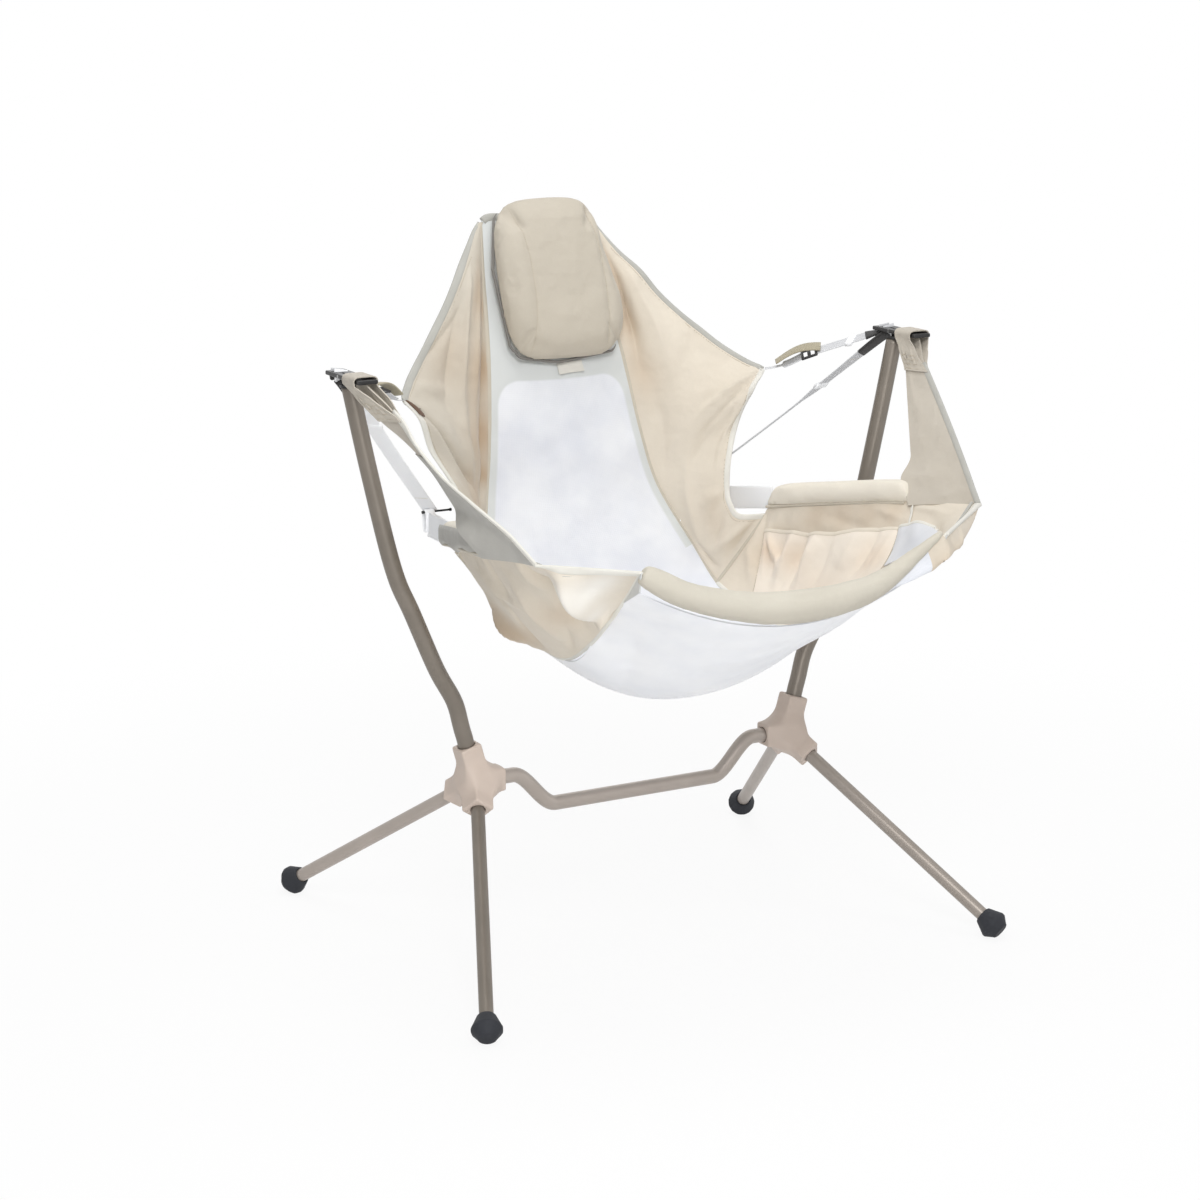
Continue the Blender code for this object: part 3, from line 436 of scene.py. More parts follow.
def stitchRow(name, path, rise, finish, pitch=0.0035, length=0.0024, radius=0.00045):
    # short six-sided threads laid along a path, each a few faces
    path = np.asarray(path, float)
    count = max(int(runOf(path)[-1] / pitch), 2)
    fine = respaced(np.hstack((path, np.broadcast_to(np.asarray(rise, float), path.shape))), count)
    at, rise = fine[:, :3], unit(fine[:, 3:])
    along = unit(np.gradient(at, axis=0))
    across = unit(np.cross(along, rise))
    turn = np.linspace(0, 2 * pi, 6, endpoint=False)
    ring = np.stack((np.cos(turn), np.sin(turn)), axis=1) * radius
    steps = ((-0.5, 0.45), (-0.3, 1.0), (0.3, 1.0), (0.5, 0.45))
    thread = np.vstack([np.column_stack((np.full(6, s * length), ring * k)) for s, k in steps])
    points = (at[:, None] + thread[None, :, :1] * along[:, None] + thread[None, :, 1:2] * across[:, None]
              + thread[None, :, 2:] * rise[:, None])
    quads = gridFaces(4, 6, True)
    ends = np.vstack((np.array(((0, 1, 2, 3), (0, 3, 4, 5))), 18 + np.array(((3, 2, 1, 0), (5, 4, 3, 0)))))
    faces = np.vstack((quads, ends))
    faces = (faces[None] + 24 * np.arange(len(at))[:, None, None]).reshape(-1, 4)
    return newPiece(name, points, [faces], finish, closed=True)


# Finishes

class Wire:
    # one socket of a node tree: sums of wires add Math nodes, and node() adds any other node
    def __init__(self, tree, socket=None):
        self.tree, self.socket = tree, socket

    def node(self, kind, settings, inputs, out=0):
        made = self.tree.nodes.new("ShaderNode" + kind)
        stops = settings.pop("stops", ())
        for key, value in settings.items():
            setattr(made, key, value)
        for stop, (place, colour) in zip(made.color_ramp.elements if stops else (), stops):
            stop.position, stop.color = place, colour
        for key, value in inputs.items():
            if isinstance(value, Wire):
                self.tree.links.new(value.socket, made.inputs[key])
            else:
                made.inputs[key].default_value = value
        return Wire(self.tree, made.outputs[out])

    def maths(self, operation, first, second=0.0):
        return self.node("Math", {"operation": operation}, {0: first, 1: second})

    def __add__(self, other):
        return self.maths("ADD", self, other)

    def __sub__(self, other):
        return self.maths("SUBTRACT", self, other)

    def __rsub__(self, other):
        return self.maths("SUBTRACT", other, self)

    def __mul__(self, other):
        return self.maths("MULTIPLY", self, other)

    __radd__, __rmul__ = __add__, __mul__

    def sine(self):
        return self.maths("SINE", self)

    def mix(self, first, second):
        # this wire as the share of the second colour
        return self.node("Mix", {"data_type": "RGBA"}, {0: self, 6: first, 7: second}, 2)

    def feed(self, socket):
        self.tree.links.new(self.socket, socket)


def startFinish(name, fixed):
    material = bpy.data.materials.new(name)
    material.use_nodes = True
    shader = material.node_tree.nodes["Principled BSDF"]
    for socket, value in fixed.items():
        shader.inputs[socket].default_value = value
    return material, Wire(material.node_tree), shader


def paint(r, g, b):
    # a colour written as it shows on screen, 0 to 255
    shown = np.array((r, g, b)) / 255
    linear = np.where(shown <= 0.04045, shown / 12.92, ((shown + 0.055) / 1.055) ** 2.4)
    return (*map(float, linear), 1.0)


def coords(wire, kind):
    return wire.node("TexCoord", {}, {}, kind)


def noise(wire, at, scale, detail=3.0):
    return wire.node("TexNoise", {}, {"Vector": at, "Scale": scale, "Detail": detail, "Roughness": 0.55})


def bump(wire, shader, height, strength, distance, slow=None):
    # fine relief, over slow waves where they are given as (height, metres)
    inputs = {"Strength": strength, "Distance": distance, "Height": height}
    if slow:
        inputs["Normal"] = wire.node("Bump", {}, {"Strength": 1.0, "Distance": slow[1], "Height": slow[0]})
    wire.node("Bump", {}, inputs).feed(shader.inputs["Normal"])


def wovenCloth(name, colour, dark, glow_and_shade_tint, pitch, mapped=True, rough=0.82):
    # plain weave: warp and weft sines, a melange of thread colours, a warm tint of painted glow where light comes
    # through and of painted shade, and a pale tint of painted highlight
    material, wire, shader = startFinish(name, {"Sheen Weight": 0.18, "Sheen Roughness": 0.45, "Specular IOR Level": 0.25})
    place = coords(wire, "Object")
    weaveAt = coords(wire, "UV") if mapped else place
    split = [wire.node("SeparateXYZ", {}, {0: weaveAt}, k) for k in range(3)]
    first, second = (split[0], split[1]) if mapped else (split[0] + split[1], split[2])
    turns = 2 * pi / pitch
    weave = (first * turns).sine() * (second * turns).sine()
    slub = noise(wire, place, 420.0, 2.0)
    cloud = noise(wire, place, 7.0, 4.0)
    base = (cloud * 1.5 - 0.4).mix(paint(*dark), paint(*colour))
    base = (slub * 0.22).mix(base, paint(*(min(255, c + 14) for c in colour)))
    # painted light: marked places take the warm tint (painted glow and painted shade) and the pale tint (painted
    # highlight)
    for mark, tint in (("painted_glow_and_shade", glow_and_shade_tint), ("painted_highlight", (252, 251, 247))) if glow_and_shade_tint else ():
        base = wire.node("Attribute", {"attribute_name": mark}, {}, "Fac").mix(base, paint(*tint))
    base.feed(shader.inputs["Base Color"])
    (slub * 0.16 + (rough - 0.08)).feed(shader.inputs["Roughness"])
    bump(wire, shader, weave * 0.5 + slub * 0.8 + noise(wire, place, 60.0) * 0.9, 0.22, 0.0006, (noise(wire, place, 15.0, 2.5), 0.010))
    return material


def airMesh(name, colour, dark, border, cell):
    # open knit: rows of small round holes between pale cords, and a plain woven border
    material, wire, shader = startFinish(name, {"Sheen Weight": 0.12, "Specular IOR Level": 0.3})
    place, flat = coords(wire, "Object"), coords(wire, "UV")
    holes = wire.node("TexVoronoi", {"feature": "F1"}, {"Vector": flat, "Scale": 1 / cell, "Randomness": 0.15})
    knit = wire.node("MapRange", {}, {0: holes, 1: 0.12, 2: 0.42, 3: 0.0, 4: 1.0})
    away = wire.node("Attribute", {"attribute_name": "border"}, {}, "Fac")
    edge = wire.node("MapRange", {"interpolation_type": "SMOOTHSTEP"}, {0: away, 1: -0.12, 2: 0.12, 3: 0.0, 4: 1.0})
    cloud = noise(wire, place, 11.0, 3.0)
    base = (knit * 0.3 + cloud * 2.6 - 0.95).mix(paint(*dark), paint(*colour))
    edge.mix(base, paint(*border)).feed(shader.inputs["Base Color"])
    (knit * -0.12 + 0.72).feed(shader.inputs["Roughness"])
    bump(wire, shader, knit * (1 - edge * 0.8) + noise(wire, place, 90.0) * 0.25, 0.22, 0.0007, (noise(wire, place, 9.0, 2.0), 0.016))
    return material


def webbingFinish(name, colour, dark, relief=0.12, rough=0.7):
    # ribbed strap: fine cross ribs with a faint twill
    material, wire, shader = startFinish(name, {"Sheen Weight": 0.15, "Specular IOR Level": 0.3})
    place = coords(wire, "Object")
    split = [wire.node("SeparateXYZ", {}, {0: place}, k) for k in range(3)]
    rib = ((split[0] + split[1] * 0.6 + split[2]) * 3900.0).sine()
    twill = ((split[0] - split[2] + split[1] * 0.3) * 2100.0).sine()
    cloud = noise(wire, place, 30.0)
    (cloud * 1.1 - 0.1 + rib * 0.02).mix(paint(*dark), paint(*colour)).feed(shader.inputs["Base Color"])
    (cloud * 0.1 + rough - 0.05).feed(shader.inputs["Roughness"])
    bump(wire, shader, rib * 0.6 + twill * 0.4, relief, 0.0003)
    return material


def bronzeFinish(name, dark, light):
    # satin anodised tube: drawn lines along it, slight clouding and a few rubbed specks
    material, wire, shader = startFinish(name, {
        "Metallic": 0.35, "Specular IOR Level": 0.35})
    place = coords(wire, "Object")
    drawn = wire.node("TexNoise", {}, {"Vector": wire.node("Mapping", {}, {0: place, 3: (900.0, 900.0, 30.0)}),
                                       "Scale": 1.0, "Detail": 2.0})
    cloud, specks = noise(wire, place, 14.0, 5.0), noise(wire, place, 260.0, 2.0)
    (cloud * 1.3 - 0.15).mix(paint(*dark), paint(*light)).feed(shader.inputs["Base Color"])
    (drawn * 0.10 + specks * 0.08 + 0.27).feed(shader.inputs["Roughness"])
    bump(wire, shader, drawn + specks * 0.5, 0.05, 0.0003)
    return material


def mouldedFinish(name, colour, dark, rough, grain, metallic=0.0):
    # moulded part: fine spark-erosion grain and a slow change of tone
    material, wire, shader = startFinish(name, {"Specular IOR Level": 0.4, "Metallic": metallic})
    place = coords(wire, "Object")
    cloud, fine = noise(wire, place, 18.0, 4.0), noise(wire, place, grain, 2.0)
    (cloud * 1.2 - 0.1).mix(paint(*dark), paint(*colour)).feed(shader.inputs["Base Color"])
    (fine * 0.2 + rough - 0.1).feed(shader.inputs["Roughness"])
    bump(wire, shader, fine + cloud * 0.3, 0.14, 0.0004)
    return material


beigeCloth = wovenCloth("beigeCloth", (227, 218, 203), (216, 206, 190), (198, 177, 152), 0.0011)
# a darker copy of the beige cloth: painted shade for the left wing
paintedShadeCloth = wovenCloth("paintedShadeCloth", (206, 199, 186), (196, 188, 174), (184, 163, 139), 0.0011)
# a dark brown sheet that stands for the shadow inside a folded corner: painted shadow
paintedShadowCloth = wovenCloth("paintedShadowCloth", (108, 83, 66), (86, 64, 50), None, 0.0011)
armCloth = wovenCloth("armCloth", (200, 193, 181), (189, 181, 168), (200, 182, 160), 0.0011)
padCloth = wovenCloth("padCloth", (236, 230, 217), (226, 219, 205), None, 0.0012, False)
pillowCloth = wovenCloth("pillowCloth", (200, 192, 178), (189, 181, 166), None, 0.0012, False)
creamCloth = wovenCloth("creamCloth", (212, 207, 194), (200, 194, 180), (192, 186, 173), 0.0012, False)
pocketCloth = wovenCloth("pocketCloth", (239, 231, 219), (231, 220, 205), (222, 201, 178), 0.0010)
liningCloth = wovenCloth("liningCloth", (216, 217, 216), (203, 204, 203), None, 0.0011)
trimCloth = wovenCloth("trimCloth", (189, 187, 181), (176, 174, 168), None, 0.0011)
whiteMesh = airMesh("whiteMesh", (236, 238, 242), (220, 223, 231), (212, 215, 214), 0.0026)
# a brighter copy of the white mesh: painted light for the seat's underside
paintedLightMesh = airMesh("paintedLightMesh", (251, 252, 254), (240, 242, 247), (212, 215, 214), 0.0026)
greyMesh = airMesh("greyMesh", (224, 225, 227), (208, 210, 215), (212, 215, 214), 0.0026)
paleWebbing = webbingFinish("paleWebbing", (254, 254, 255), (245, 247, 250), 0.004)
# grey webbing of the back straps, also a darker copy of the pale webbing: painted shade on the right rear strap
greyAndShadedWebbing = webbingFinish("greyAndShadedWebbing", (214, 215, 217), (196, 197, 200), 0.004)
blackWebbing = webbingFinish("blackWebbing", (58, 57, 56), (40, 39, 39))
beigeStrap = webbingFinish("beigeStrap", (207, 199, 184), (190, 182, 167))
tabStrap = webbingFinish("tabStrap", (178, 170, 148), (158, 150, 128), 0.02)
greyTape = webbingFinish("greyTape", (188, 187, 180), (170, 169, 163))
paleTape = webbingFinish("paleTape", (232, 230, 223), (218, 215, 206))
# a dark tape: painted shadow along the pillow's rim
paintedShadowTape = webbingFinish("paintedShadowTape", (132, 129, 125), (116, 113, 109))
threadFinish = mouldedFinish("sewingThread", (196, 186, 168), (182, 172, 154), 0.7, 900.0)
paleThread = mouldedFinish("paleThread", (232, 228, 218), (220, 215, 204), 0.7, 900.0)
# one satin tube in three copies; the two lighter copies are painted light where more light falls
bronzeTube = bronzeFinish("bronzeTube", (116, 109, 100), (134, 126, 117))
bronzeWithPaintedLight = bronzeFinish("bronzeWithPaintedLight", (145, 137, 129), (162, 153, 145))
bronzeWithMorePaintedLight = bronzeFinish("bronzeWithMorePaintedLight", (162, 153, 145), (180, 170, 162))
taupePlastic = mouldedFinish("taupePlastic", (209, 194, 182), (198, 182, 170), 0.5, 1400.0)
blackPlastic = mouldedFinish("blackPlastic", (38, 37, 37), (26, 25, 26), 0.38, 1500.0)
footRubber = mouldedFinish("footRubber", (46, 48, 54), (35, 37, 42), 0.72, 900.0)
pinSteel = mouldedFinish("pinSteel", (178, 178, 178), (160, 160, 160), 0.28, 700.0, 1.0)
print("finishes ready:", len(bpy.data.materials))


# Camera, floor and light

view = {"at": (-1.986853, -3.475368, 1.455584), "tilt": 76.445, "turn": -29.008, "lens": 84.1}
studio = {
    "floor": 6.0, "floorNear": 0.75, "floorFar": 1.9,       # the floor fades to the white background between these
    "sky": 0.36,
    "lamps": (("key", (-1.3, -2.7, 2.9), 1.3, 60.0), ("fill", (2.6, -1.9, 1.4), 2.0, 7.0), ("low", (-1.1, -2.5, 0.30), 1.4, 20.0),
              ("top", (0.2, 0.2, 3.2), 1.8, 34.0), ("rear", (1.2, 3.0, 2.0), 2.0, 10.0)),
}


def setCamera():
    camera = bpy.data.objects.new("camera", bpy.data.cameras.new("camera"))
    camera.location = (view["at"][0], view["at"][1] + rootY, view["at"][2])
    camera.rotation_euler = (radians(view["tilt"]), 0, radians(view["turn"]))
    camera.data.lens, camera.data.sensor_width = view["lens"], 36
    scene.collection.objects.link(camera)
    scene.camera = camera


def whiteToEye(wire):
    # 1 where the eye, a mirror or a glass looks straight at the background
    path = wire.tree.nodes.new("ShaderNodeLightPath")
    seen = [Wire(wire.tree, path.outputs[name]) for name in ("Is Camera Ray", "Is Glossy Ray", "Is Transmission Ray")]
    return wire.maths("MAXIMUM", wire.maths("MAXIMUM", seen[0], seen[1]), seen[2])


def setStage():
    world = bpy.data.worlds.new("studio")
    scene.world = world
    world.use_nodes = True
    wire = Wire(world.node_tree)
    back = world.node_tree.nodes["Background"]
    back.inputs["Color"].default_value = (1, 1, 1, 1)
    white = whiteToEye(wire)
    (white + (1 - white) * studio["sky"]).feed(back.inputs["Strength"])

    steps = np.linspace(-studio["floor"], studio["floor"], 3)
    grid = np.stack(np.meshgrid(steps, steps, [0.0], indexing="ij"), axis=-1)[:, :, 0] - (0, rootY, 0.0004)
    material, wire, shader = startFinish("floorPaper", {"Base Color": (0.90, 0.90, 0.90, 1), "Roughness": 0.9})
    away = wire.node("VectorMath", {"operation": "LENGTH"}, {0: coords(wire, "Object")}, "Value")
    far = wire.node("MapRange", {"interpolation_type": "SMOOTHSTEP"},
                    {0: away, 1: studio["floorNear"], 2: studio["floorFar"], 3: 0.90, 4: 1.0})
    paper = wire.node("Emission", {}, {"Color": (1, 1, 1, 1), "Strength": 1.0})
    shown = wire.node("MixShader", {}, {0: far * whiteToEye(wire), 1: Wire(wire.tree, shader.outputs[0]), 2: paper})
    shown.feed(wire.tree.nodes["Material Output"].inputs["Surface"])
    newPiece("floor", grid, [gridFaces(3, 3)], material)
    for name, at, size, power in studio["lamps"]:
        lamp = bpy.data.lights.new(name, "AREA")
        lamp.size, lamp.energy = size, power
        holder = bpy.data.objects.new(name, lamp)
        holder.location = at
        holder.rotation_euler = (Vector((0, 0, 0.55)) - Vector(at)).to_track_quat("-Z", "Y").to_euler()
        scene.collection.objects.link(holder)
    scene.view_settings.view_transform = "Standard"


setCamera()
setStage()
print("camera and studio set")


# Stand

stand = {
    "hubSpread": 0.527, "hubHeight": 0.253, "hubCore": 0.013,
    "tipSpread": 0.900, "tipHeight": 0.844, "uprightRadius": 0.0122, "lean": radians(16), "socketUp": 0.058,
    "knee": (0.007, 0.122, 0.034),      # drawn in above the hub: depth, height, spread
    "bends": ((0.42, 0.50), (0.55, 0.672), (0.78, 0.85)),       # shares of the rise and of the run
    "barRadius": 0.011, "barDrop": 0.053, "barBend": (0.205, 0.135), "socketBar": 0.046,
    "legRadius": 0.010, "socketLeg": 0.056, "legGap": 0.006,
    "feet": {"front": (0.837, -0.3356), "rear": (0.814, 0.3511)},
}
hubLook = {"half": 0.0168, "round": 0.0032, "fillet": 0.021, "pitch": 0.0012, "gap": 0.0007, "barSocket": 0.040}
# which tube takes which copy: the front right leg, the rear legs and the crossbar take lighter copies, painted light
legFinish = {(-1, "front"): bronzeTube, (1, "front"): bronzeWithPaintedLight}
footLook = {"radius": 0.022, "band": 0.004, "upper": 0.022, "lower": 0.015, "top": 0.0125, "cut": 0.0005,
            "facets": 13, "facetShare": 0.55}


def hubCentre(side):
    return np.array((side * stand["hubSpread"] / 2, 0, stand["hubHeight"]))


def upWay(side):
    return np.array((side * sin(stand["lean"]), 0, cos(stand["lean"])))


def footPoint(side, way):
    # middle of the foot's widest band, so high that the foot stands on the floor
    spread, reach = stand["feet"][way]
    level, height = np.hypot((spread - stand["hubSpread"]) / 2, reach), footLook["radius"]
    for _ in range(8):
        fall = stand["hubHeight"] - height
        height = ((footLook["radius"] * level + footLook["band"] / 2 * fall) / np.hypot(level, fall) - footLook["cut"])
    return np.array((side * spread / 2, reach, height))


def legWay(side, way):
    return unit(footPoint(side, way) - hubCentre(side))


def uprightPath(side):
    centre = hubCentre(side)
    rise, run = stand["tipHeight"] - stand["hubHeight"], (stand["tipSpread"] - stand["hubSpread"]) / 2
    bends = [centre + np.array((side * run * across, 0, rise * up)) for up, across in stand["bends"]]
    tip = np.array((side * stand["tipSpread"] / 2, 0, stand["tipHeight"]))
    straight = centre + upWay(side) * (stand["socketUp"] + stand["hubCore"])
    curve = through([centre, straight, *bends, tip], np.linspace(1, len(bends) + 2, 120))
    path = np.vstack((np.linspace(centre + upWay(side) * stand["hubCore"], straight, 6)[:-1], respaced(curve, 90)))
    drawn = stand["knee"][0] * np.exp(-((path[:, 2] - centre[2] - stand["knee"][1]) / stand["knee"][2]) ** 2)
    return path - np.outer(drawn, (side, 0, 0))


def barPath():
    # the drop eases from the hubs' height to the middle's: t^2 (3 - 2 t)
    x = np.linspace(stand["hubSpread"] / 2 - stand["hubCore"], -stand["hubSpread"] / 2 + stand["hubCore"], 140)
    outer, inner = stand["barBend"]
    t = np.clip((outer - np.abs(x)) / (outer - inner), 0, 1)
    return np.stack((x, 0 * x, stand["hubHeight"] - stand["barDrop"] * t * t * (3 - 2 * t)), axis=1)


def fit(piece, body, slot, *nodes):
    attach(piece, body)
    if nodes:
        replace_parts(piece, *nodes)
    return piece


def makeHub(side, label):
    centre = hubCentre(side)
    sockets = ((upWay(side), stand["socketUp"], stand["uprightRadius"]), (np.array((-side, 0, 0)), hubLook["barSocket"], stand["barRadius"]),
               (legWay(side, "front"), stand["socketLeg"], stand["legRadius"]),
               (legWay(side, "rear"), stand["socketLeg"], stand["legRadius"]))
    low, high = centre - 0.078, centre + 0.078
    points = latticeOf(low, high, hubLook["pitch"])
    body, front = None, np.array((0, -1.0, 0))
    for way, length, _ in sockets:
        face = unit(front - way * (front @ way))
        axes = (way, face, np.cross(way, face))
        start = -hubLook["half"] * 0.9
        arm = roundBox(points, centre + way * (length + start) / 2, axes,
                       ((length - start) / 2, hubLook["half"], hubLook["half"]), hubLook["round"])
        body = arm if body is None else softMin(body, arm, hubLook["fillet"])
    for way, length, radius in sockets:
        along = (points - centre) @ way
        away = np.linalg.norm(points - centre - along[..., None] * way, axis=-1) - radius - hubLook["gap"]
        body = np.maximum(body, -np.maximum(away, length - 0.012 - along))
    spots, quads = netSurface(body, low, hubLook["pitch"])
    fit(newPiece(f"hub_{label}_shell", spots, [quads], taupePlastic, closed=True), "frame", "taupe_plastic", f"hub_{label}")


def makeFoot(side, way, label):
    point, along = footPoint(side, way), legWay(side, way)
    slope = -along[2] / np.hypot(along[0], along[1])
    r, low = footLook["radius"], footLook["lower"]
    end = r - (low - footLook["band"] / 2) * slope
    outline = np.array(((0.0005, low), (end * 0.6, low), (end - 0.0022, low - 0.0002), (end - 0.0004, low - 0.0014),
                        (end + 0.0006, low - 0.0032), (r - 0.0008, 0.0032), (r - 0.0001, 0.0020), (r, 0.0), (r - 0.0001, -0.0020),
                        (r - 0.0009, -0.0034), (footLook["top"] + 0.0013, 0.0018 - footLook["upper"]),
                        (footLook["top"] + 0.0004, 0.0006 - footLook["upper"]), (footLook["top"] - 0.0008, -footLook["upper"]),
                        (stand["legRadius"] + 0.0006, -footLook["upper"]), (stand["legRadius"] + 0.0004, 0.004 - footLook["upper"]),
                        (0.0005, 0.0045 - footLook["upper"])))
    turn = np.linspace(0, 2 * pi, 78, endpoint=False)
    facet = 2 * pi / footLook["facets"]
    flat = cos(facet / 2) / np.cos((turn % facet) - facet / 2)           # a regular outline with flat sides
    flat = 1 + footLook["facetShare"] * (flat / flat.max() - 1)
    rounder = np.clip((outline[:, 0] - stand["legRadius"] - 0.003) / 0.006, 0, 1)[:, None]
    radius = outline[:, :1] * (1 + rounder * (flat[None] - 1))
    across = unit(np.cross(along, (0, 0, 1)))
    rise = np.cross(across, along)
    rings = (point + outline[:, None, 1:] * along + radius[..., None] * (np.cos(turn)[None, :, None] * across
                                                                      + np.sin(turn)[None, :, None] * rise))
    rings[..., 2] = np.maximum(rings[..., 2], 0)
    count, rows = len(turn), len(outline)
    k = np.arange(count)
    middle = np.stack((point + along * low, point + along * outline[-1, 1]))
    caps = np.vstack((np.stack((k, (k + 1) % count, 0 * k + rows * count), 1),
                      np.stack(((rows - 1) * count + (k + 1) % count, (rows - 1) * count + k, 0 * k + rows * count + 1), 1)))
    piece = newPiece(f"foot_{way}_{label}_tip", np.vstack((rings.reshape(-1, 3), middle)), [gridFaces(rows, count, True), caps],
                     footRubber, closed=True)
    fit(piece, f"body_leg_{way}_{label}", "foot_rubber", f"foot_{way}_{label}")


def makeStand():
    for side, label in ((-1, "left"), (1, "right")):
        makeHub(side, label)
        upright = sweepPiece(f"upright_{label}_tube", uprightPath(side), oval(36, stand["uprightRadius"], stand["uprightRadius"]),
                             (0, 1, 0), bronzeTube)
        fit(upright, "frame", "bronze_tube", f"upright_{label}")
        for way in ("front", "rear"):
            along, finish = legWay(side, way), legFinish.get((side, way), bronzeWithMorePaintedLight)
            ends = hubCentre(side) + along * stand["hubCore"], footPoint(side, way) - along * stand["legGap"]
            leg = sweepPiece(f"leg_{way}_{label}_tube", np.linspace(*ends, 30), oval(32, stand["legRadius"], stand["legRadius"]),
                             (0, 0, 1), finish)
            fit(leg, f"body_leg_{way}_{label}", "bronze_tube", f"leg_{way}_{label}")
            makeFoot(side, way, label)
    # the crossbar takes the lightest copy: painted light
    bar = sweepPiece("crossbar_tube", barPath(), oval(32, stand["barRadius"], stand["barRadius"]), (0, 1, 0), bronzeWithMorePaintedLight)
    fit(bar, "frame", "bronze_tube", "crossbar")


makeStand()
print("stand made")


# Hangers

hangerLook = {"half": (0.015, 0.055, 0.003), "shift": -0.013, "round": 0.0016, "pitch": 0.0008,
              "rise": 0.014, "front": 0.068, "rear": 0.042}
tipLean = unit(uprightPath(1)[-1] - uprightPath(1)[-4])
swingAt = np.array((stand["tipSpread"] / 2 + hangerLook["rise"] * tipLean[0], 0,
                    stand["tipHeight"] + hangerLook["rise"] * tipLean[2]))
# slots of the bracket: middle along it, then half sizes across and along
bracketSlots = {"window": (0.0, 0.0045, 0.0112), "front": (-0.041, 0.0016, 0.0194), "rear": (0.021, 0.0104, 0.0016),
                "back": (0.033, 0.0104, 0.0016)}


def makeHanger(side, label):
    pivot = sided(swingAt, side)
    middle = pivot + (0, hangerLook["shift"], 0)
    half = np.array(hangerLook["half"])
    points = latticeOf(middle - half - 0.003, middle + half + 0.003, hangerLook["pitch"])
    plate = roundBox(points, middle, np.eye(3), half, hangerLook["round"])
    for at, across, along in bracketSlots.values():
        plate = np.maximum(plate, -roundBox(points, pivot + (0, at, 0), np.eye(3), (across, along, 0.02), 0.0007))
    spots, quads = netSurface(plate, middle - half - 0.003, hangerLook["pitch"])
    fit(newPiece(f"hanger_bracket_{label}_plate", spots, [quads], blackPlastic, closed=True), "hanger", "black_plastic",
        f"hanger_bracket_{label}")
    for node, finish in ((f"end_cap_{label}", blackPlastic), (f"pivot_pin_{label}", pinSteel)):
        frame["nodes"][node].data.materials.clear()
        frame["nodes"][node].data.materials.append(finish)


for side, label in ((-1, "left"), (1, "right")):
    makeHanger(side, label)
print("hangers made")


# Sling panels. Folds and tints are in shares of each panel, sizes in metres; a fold above 0 rises towards the sitter.
# The tints are painted glow, painted shade and painted highlight.

clothThick = 0.0020
backLook = {"rows": 80, "columns": 60, "arch": (0.05, 0.15), "windowTop": 0.452, "windowInset": 0.014, "windowCorner": 0.036, "step": 0.0012,
            "border": 0.02, "hem": 0.012}
seatLook = {
    "rows": 96, "columns": 64,
    "folds": (((0.12, 0.42), (0.30, 0.55), 0.007, 0.030), ((0.22, 0.70), (0.34, 0.80), 0.006, 0.030),
              ((0.50, 0.88), (0.62, 0.95), 0.005, 0.022),
              ((0.86, 0.08), (0.60, 0.22), 0.006, 0.016), ((0.88, 0.92), (0.62, 0.80), 0.006, 0.016),
              ((0.95, 0.30), (0.78, 0.36), 0.004, 0.014), ((0.95, 0.70), (0.78, 0.64), 0.004, 0.014),
              ((0.70, 0.95), (0.93, 0.93), -0.024, 0.040)), "lift": 0.006,
}
wingLook = {
    "rows": 100, "columns": 56, "tape": {1: 0.0090, -1: 0.0120}, "tipRows": 12,
    "folds": {
        1: (((0.05, 0.50), (0.32, 0.15), -0.024, 0.014), ((0.08, 0.80), (0.40, 0.36), 0.007, 0.018),
            ((0.44, 1.00), (0.49, 0.52), 0.0060, 0.007), ((0.48, 0.97), (0.56, 0.55), -0.0060, 0.008),
            ((0.50, 0.98), (0.72, 0.80), 0.006, 0.008), ((0.28, 0.95), (0.36, 0.70), -0.005, 0.012),
            ((0.36, 0.20), (0.62, 0.12), -0.006, 0.014), ((0.56, 0.70), (0.66, 0.40), -0.004, 0.020),
            ((0.82, 0.90), (0.78, 0.45), 0.006, 0.012), ((0.88, 0.80), (0.90, 0.30), -0.007, 0.009),
            ((0.955, 0.85), (0.92, 0.30), 0.0080, 0.007), ((0.985, 0.95), (0.975, 0.35), -0.007, 0.006),
            ((0.62, 0.40), (0.86, 0.12), 0.006, 0.018), ((0.84, 0.10), (0.96, 0.16), -0.006, 0.008)),
        -1: (((0.02, 0.74), (0.16, 0.56), 0.009, 0.011), ((0.14, 0.56), (0.45, 0.38), 0.011, 0.010),
             ((0.40, 0.38), (0.70, 0.42), 0.009, 0.011), ((0.10, 0.07), (0.62, 0.09), -0.015, 0.008),
             ((0.08, 0.24), (0.60, 0.24), 0.006, 0.009), ((0.20, 0.72), (0.42, 0.56), -0.007, 0.010),
             ((0.43, 0.98), (0.55, 0.66), -0.010, 0.007), ((0.52, 0.72), (0.66, 0.36), -0.010, 0.009),
             ((0.40, 0.98), (0.38, 0.62), 0.007, 0.008), ((0.31, 0.93), (0.20, 0.70), -0.005, 0.009),
             ((0.58, 0.14), (0.82, 0.20), -0.008, 0.010), ((0.70, 0.80), (0.86, 0.30), 0.009, 0.010)),
    },
    # warm spots: painted glow where light comes through the wing, and painted shade in the valley beside the seam and
    # the pillow
    "glow_and_shade_tint": {
        1: (((0.10, 0.28), 0.040, 0.85), ((0.22, 0.16), 0.035, 0.75), ((0.34, 0.16), 0.030, 0.5), ((0.85, 0.6), 0.05, 0.25)),
        -1: (((0.18, 0.10), 0.022, 0.8), ((0.30, 0.09), 0.024, 0.8), ((0.42, 0.08), 0.024, 0.8), ((0.54, 0.08), 0.024, 0.8),
             ((0.15, 0.28), 0.040, 0.65), ((0.32, 0.20), 0.045, 0.65), ((0.48, 0.18), 0.045, 0.65), ((0.64, 0.30), 0.045, 0.6),
             ((0.75, 0.5), 0.05, 0.5), ((0.30, 0.66), 0.05, 0.35)),
    },
}
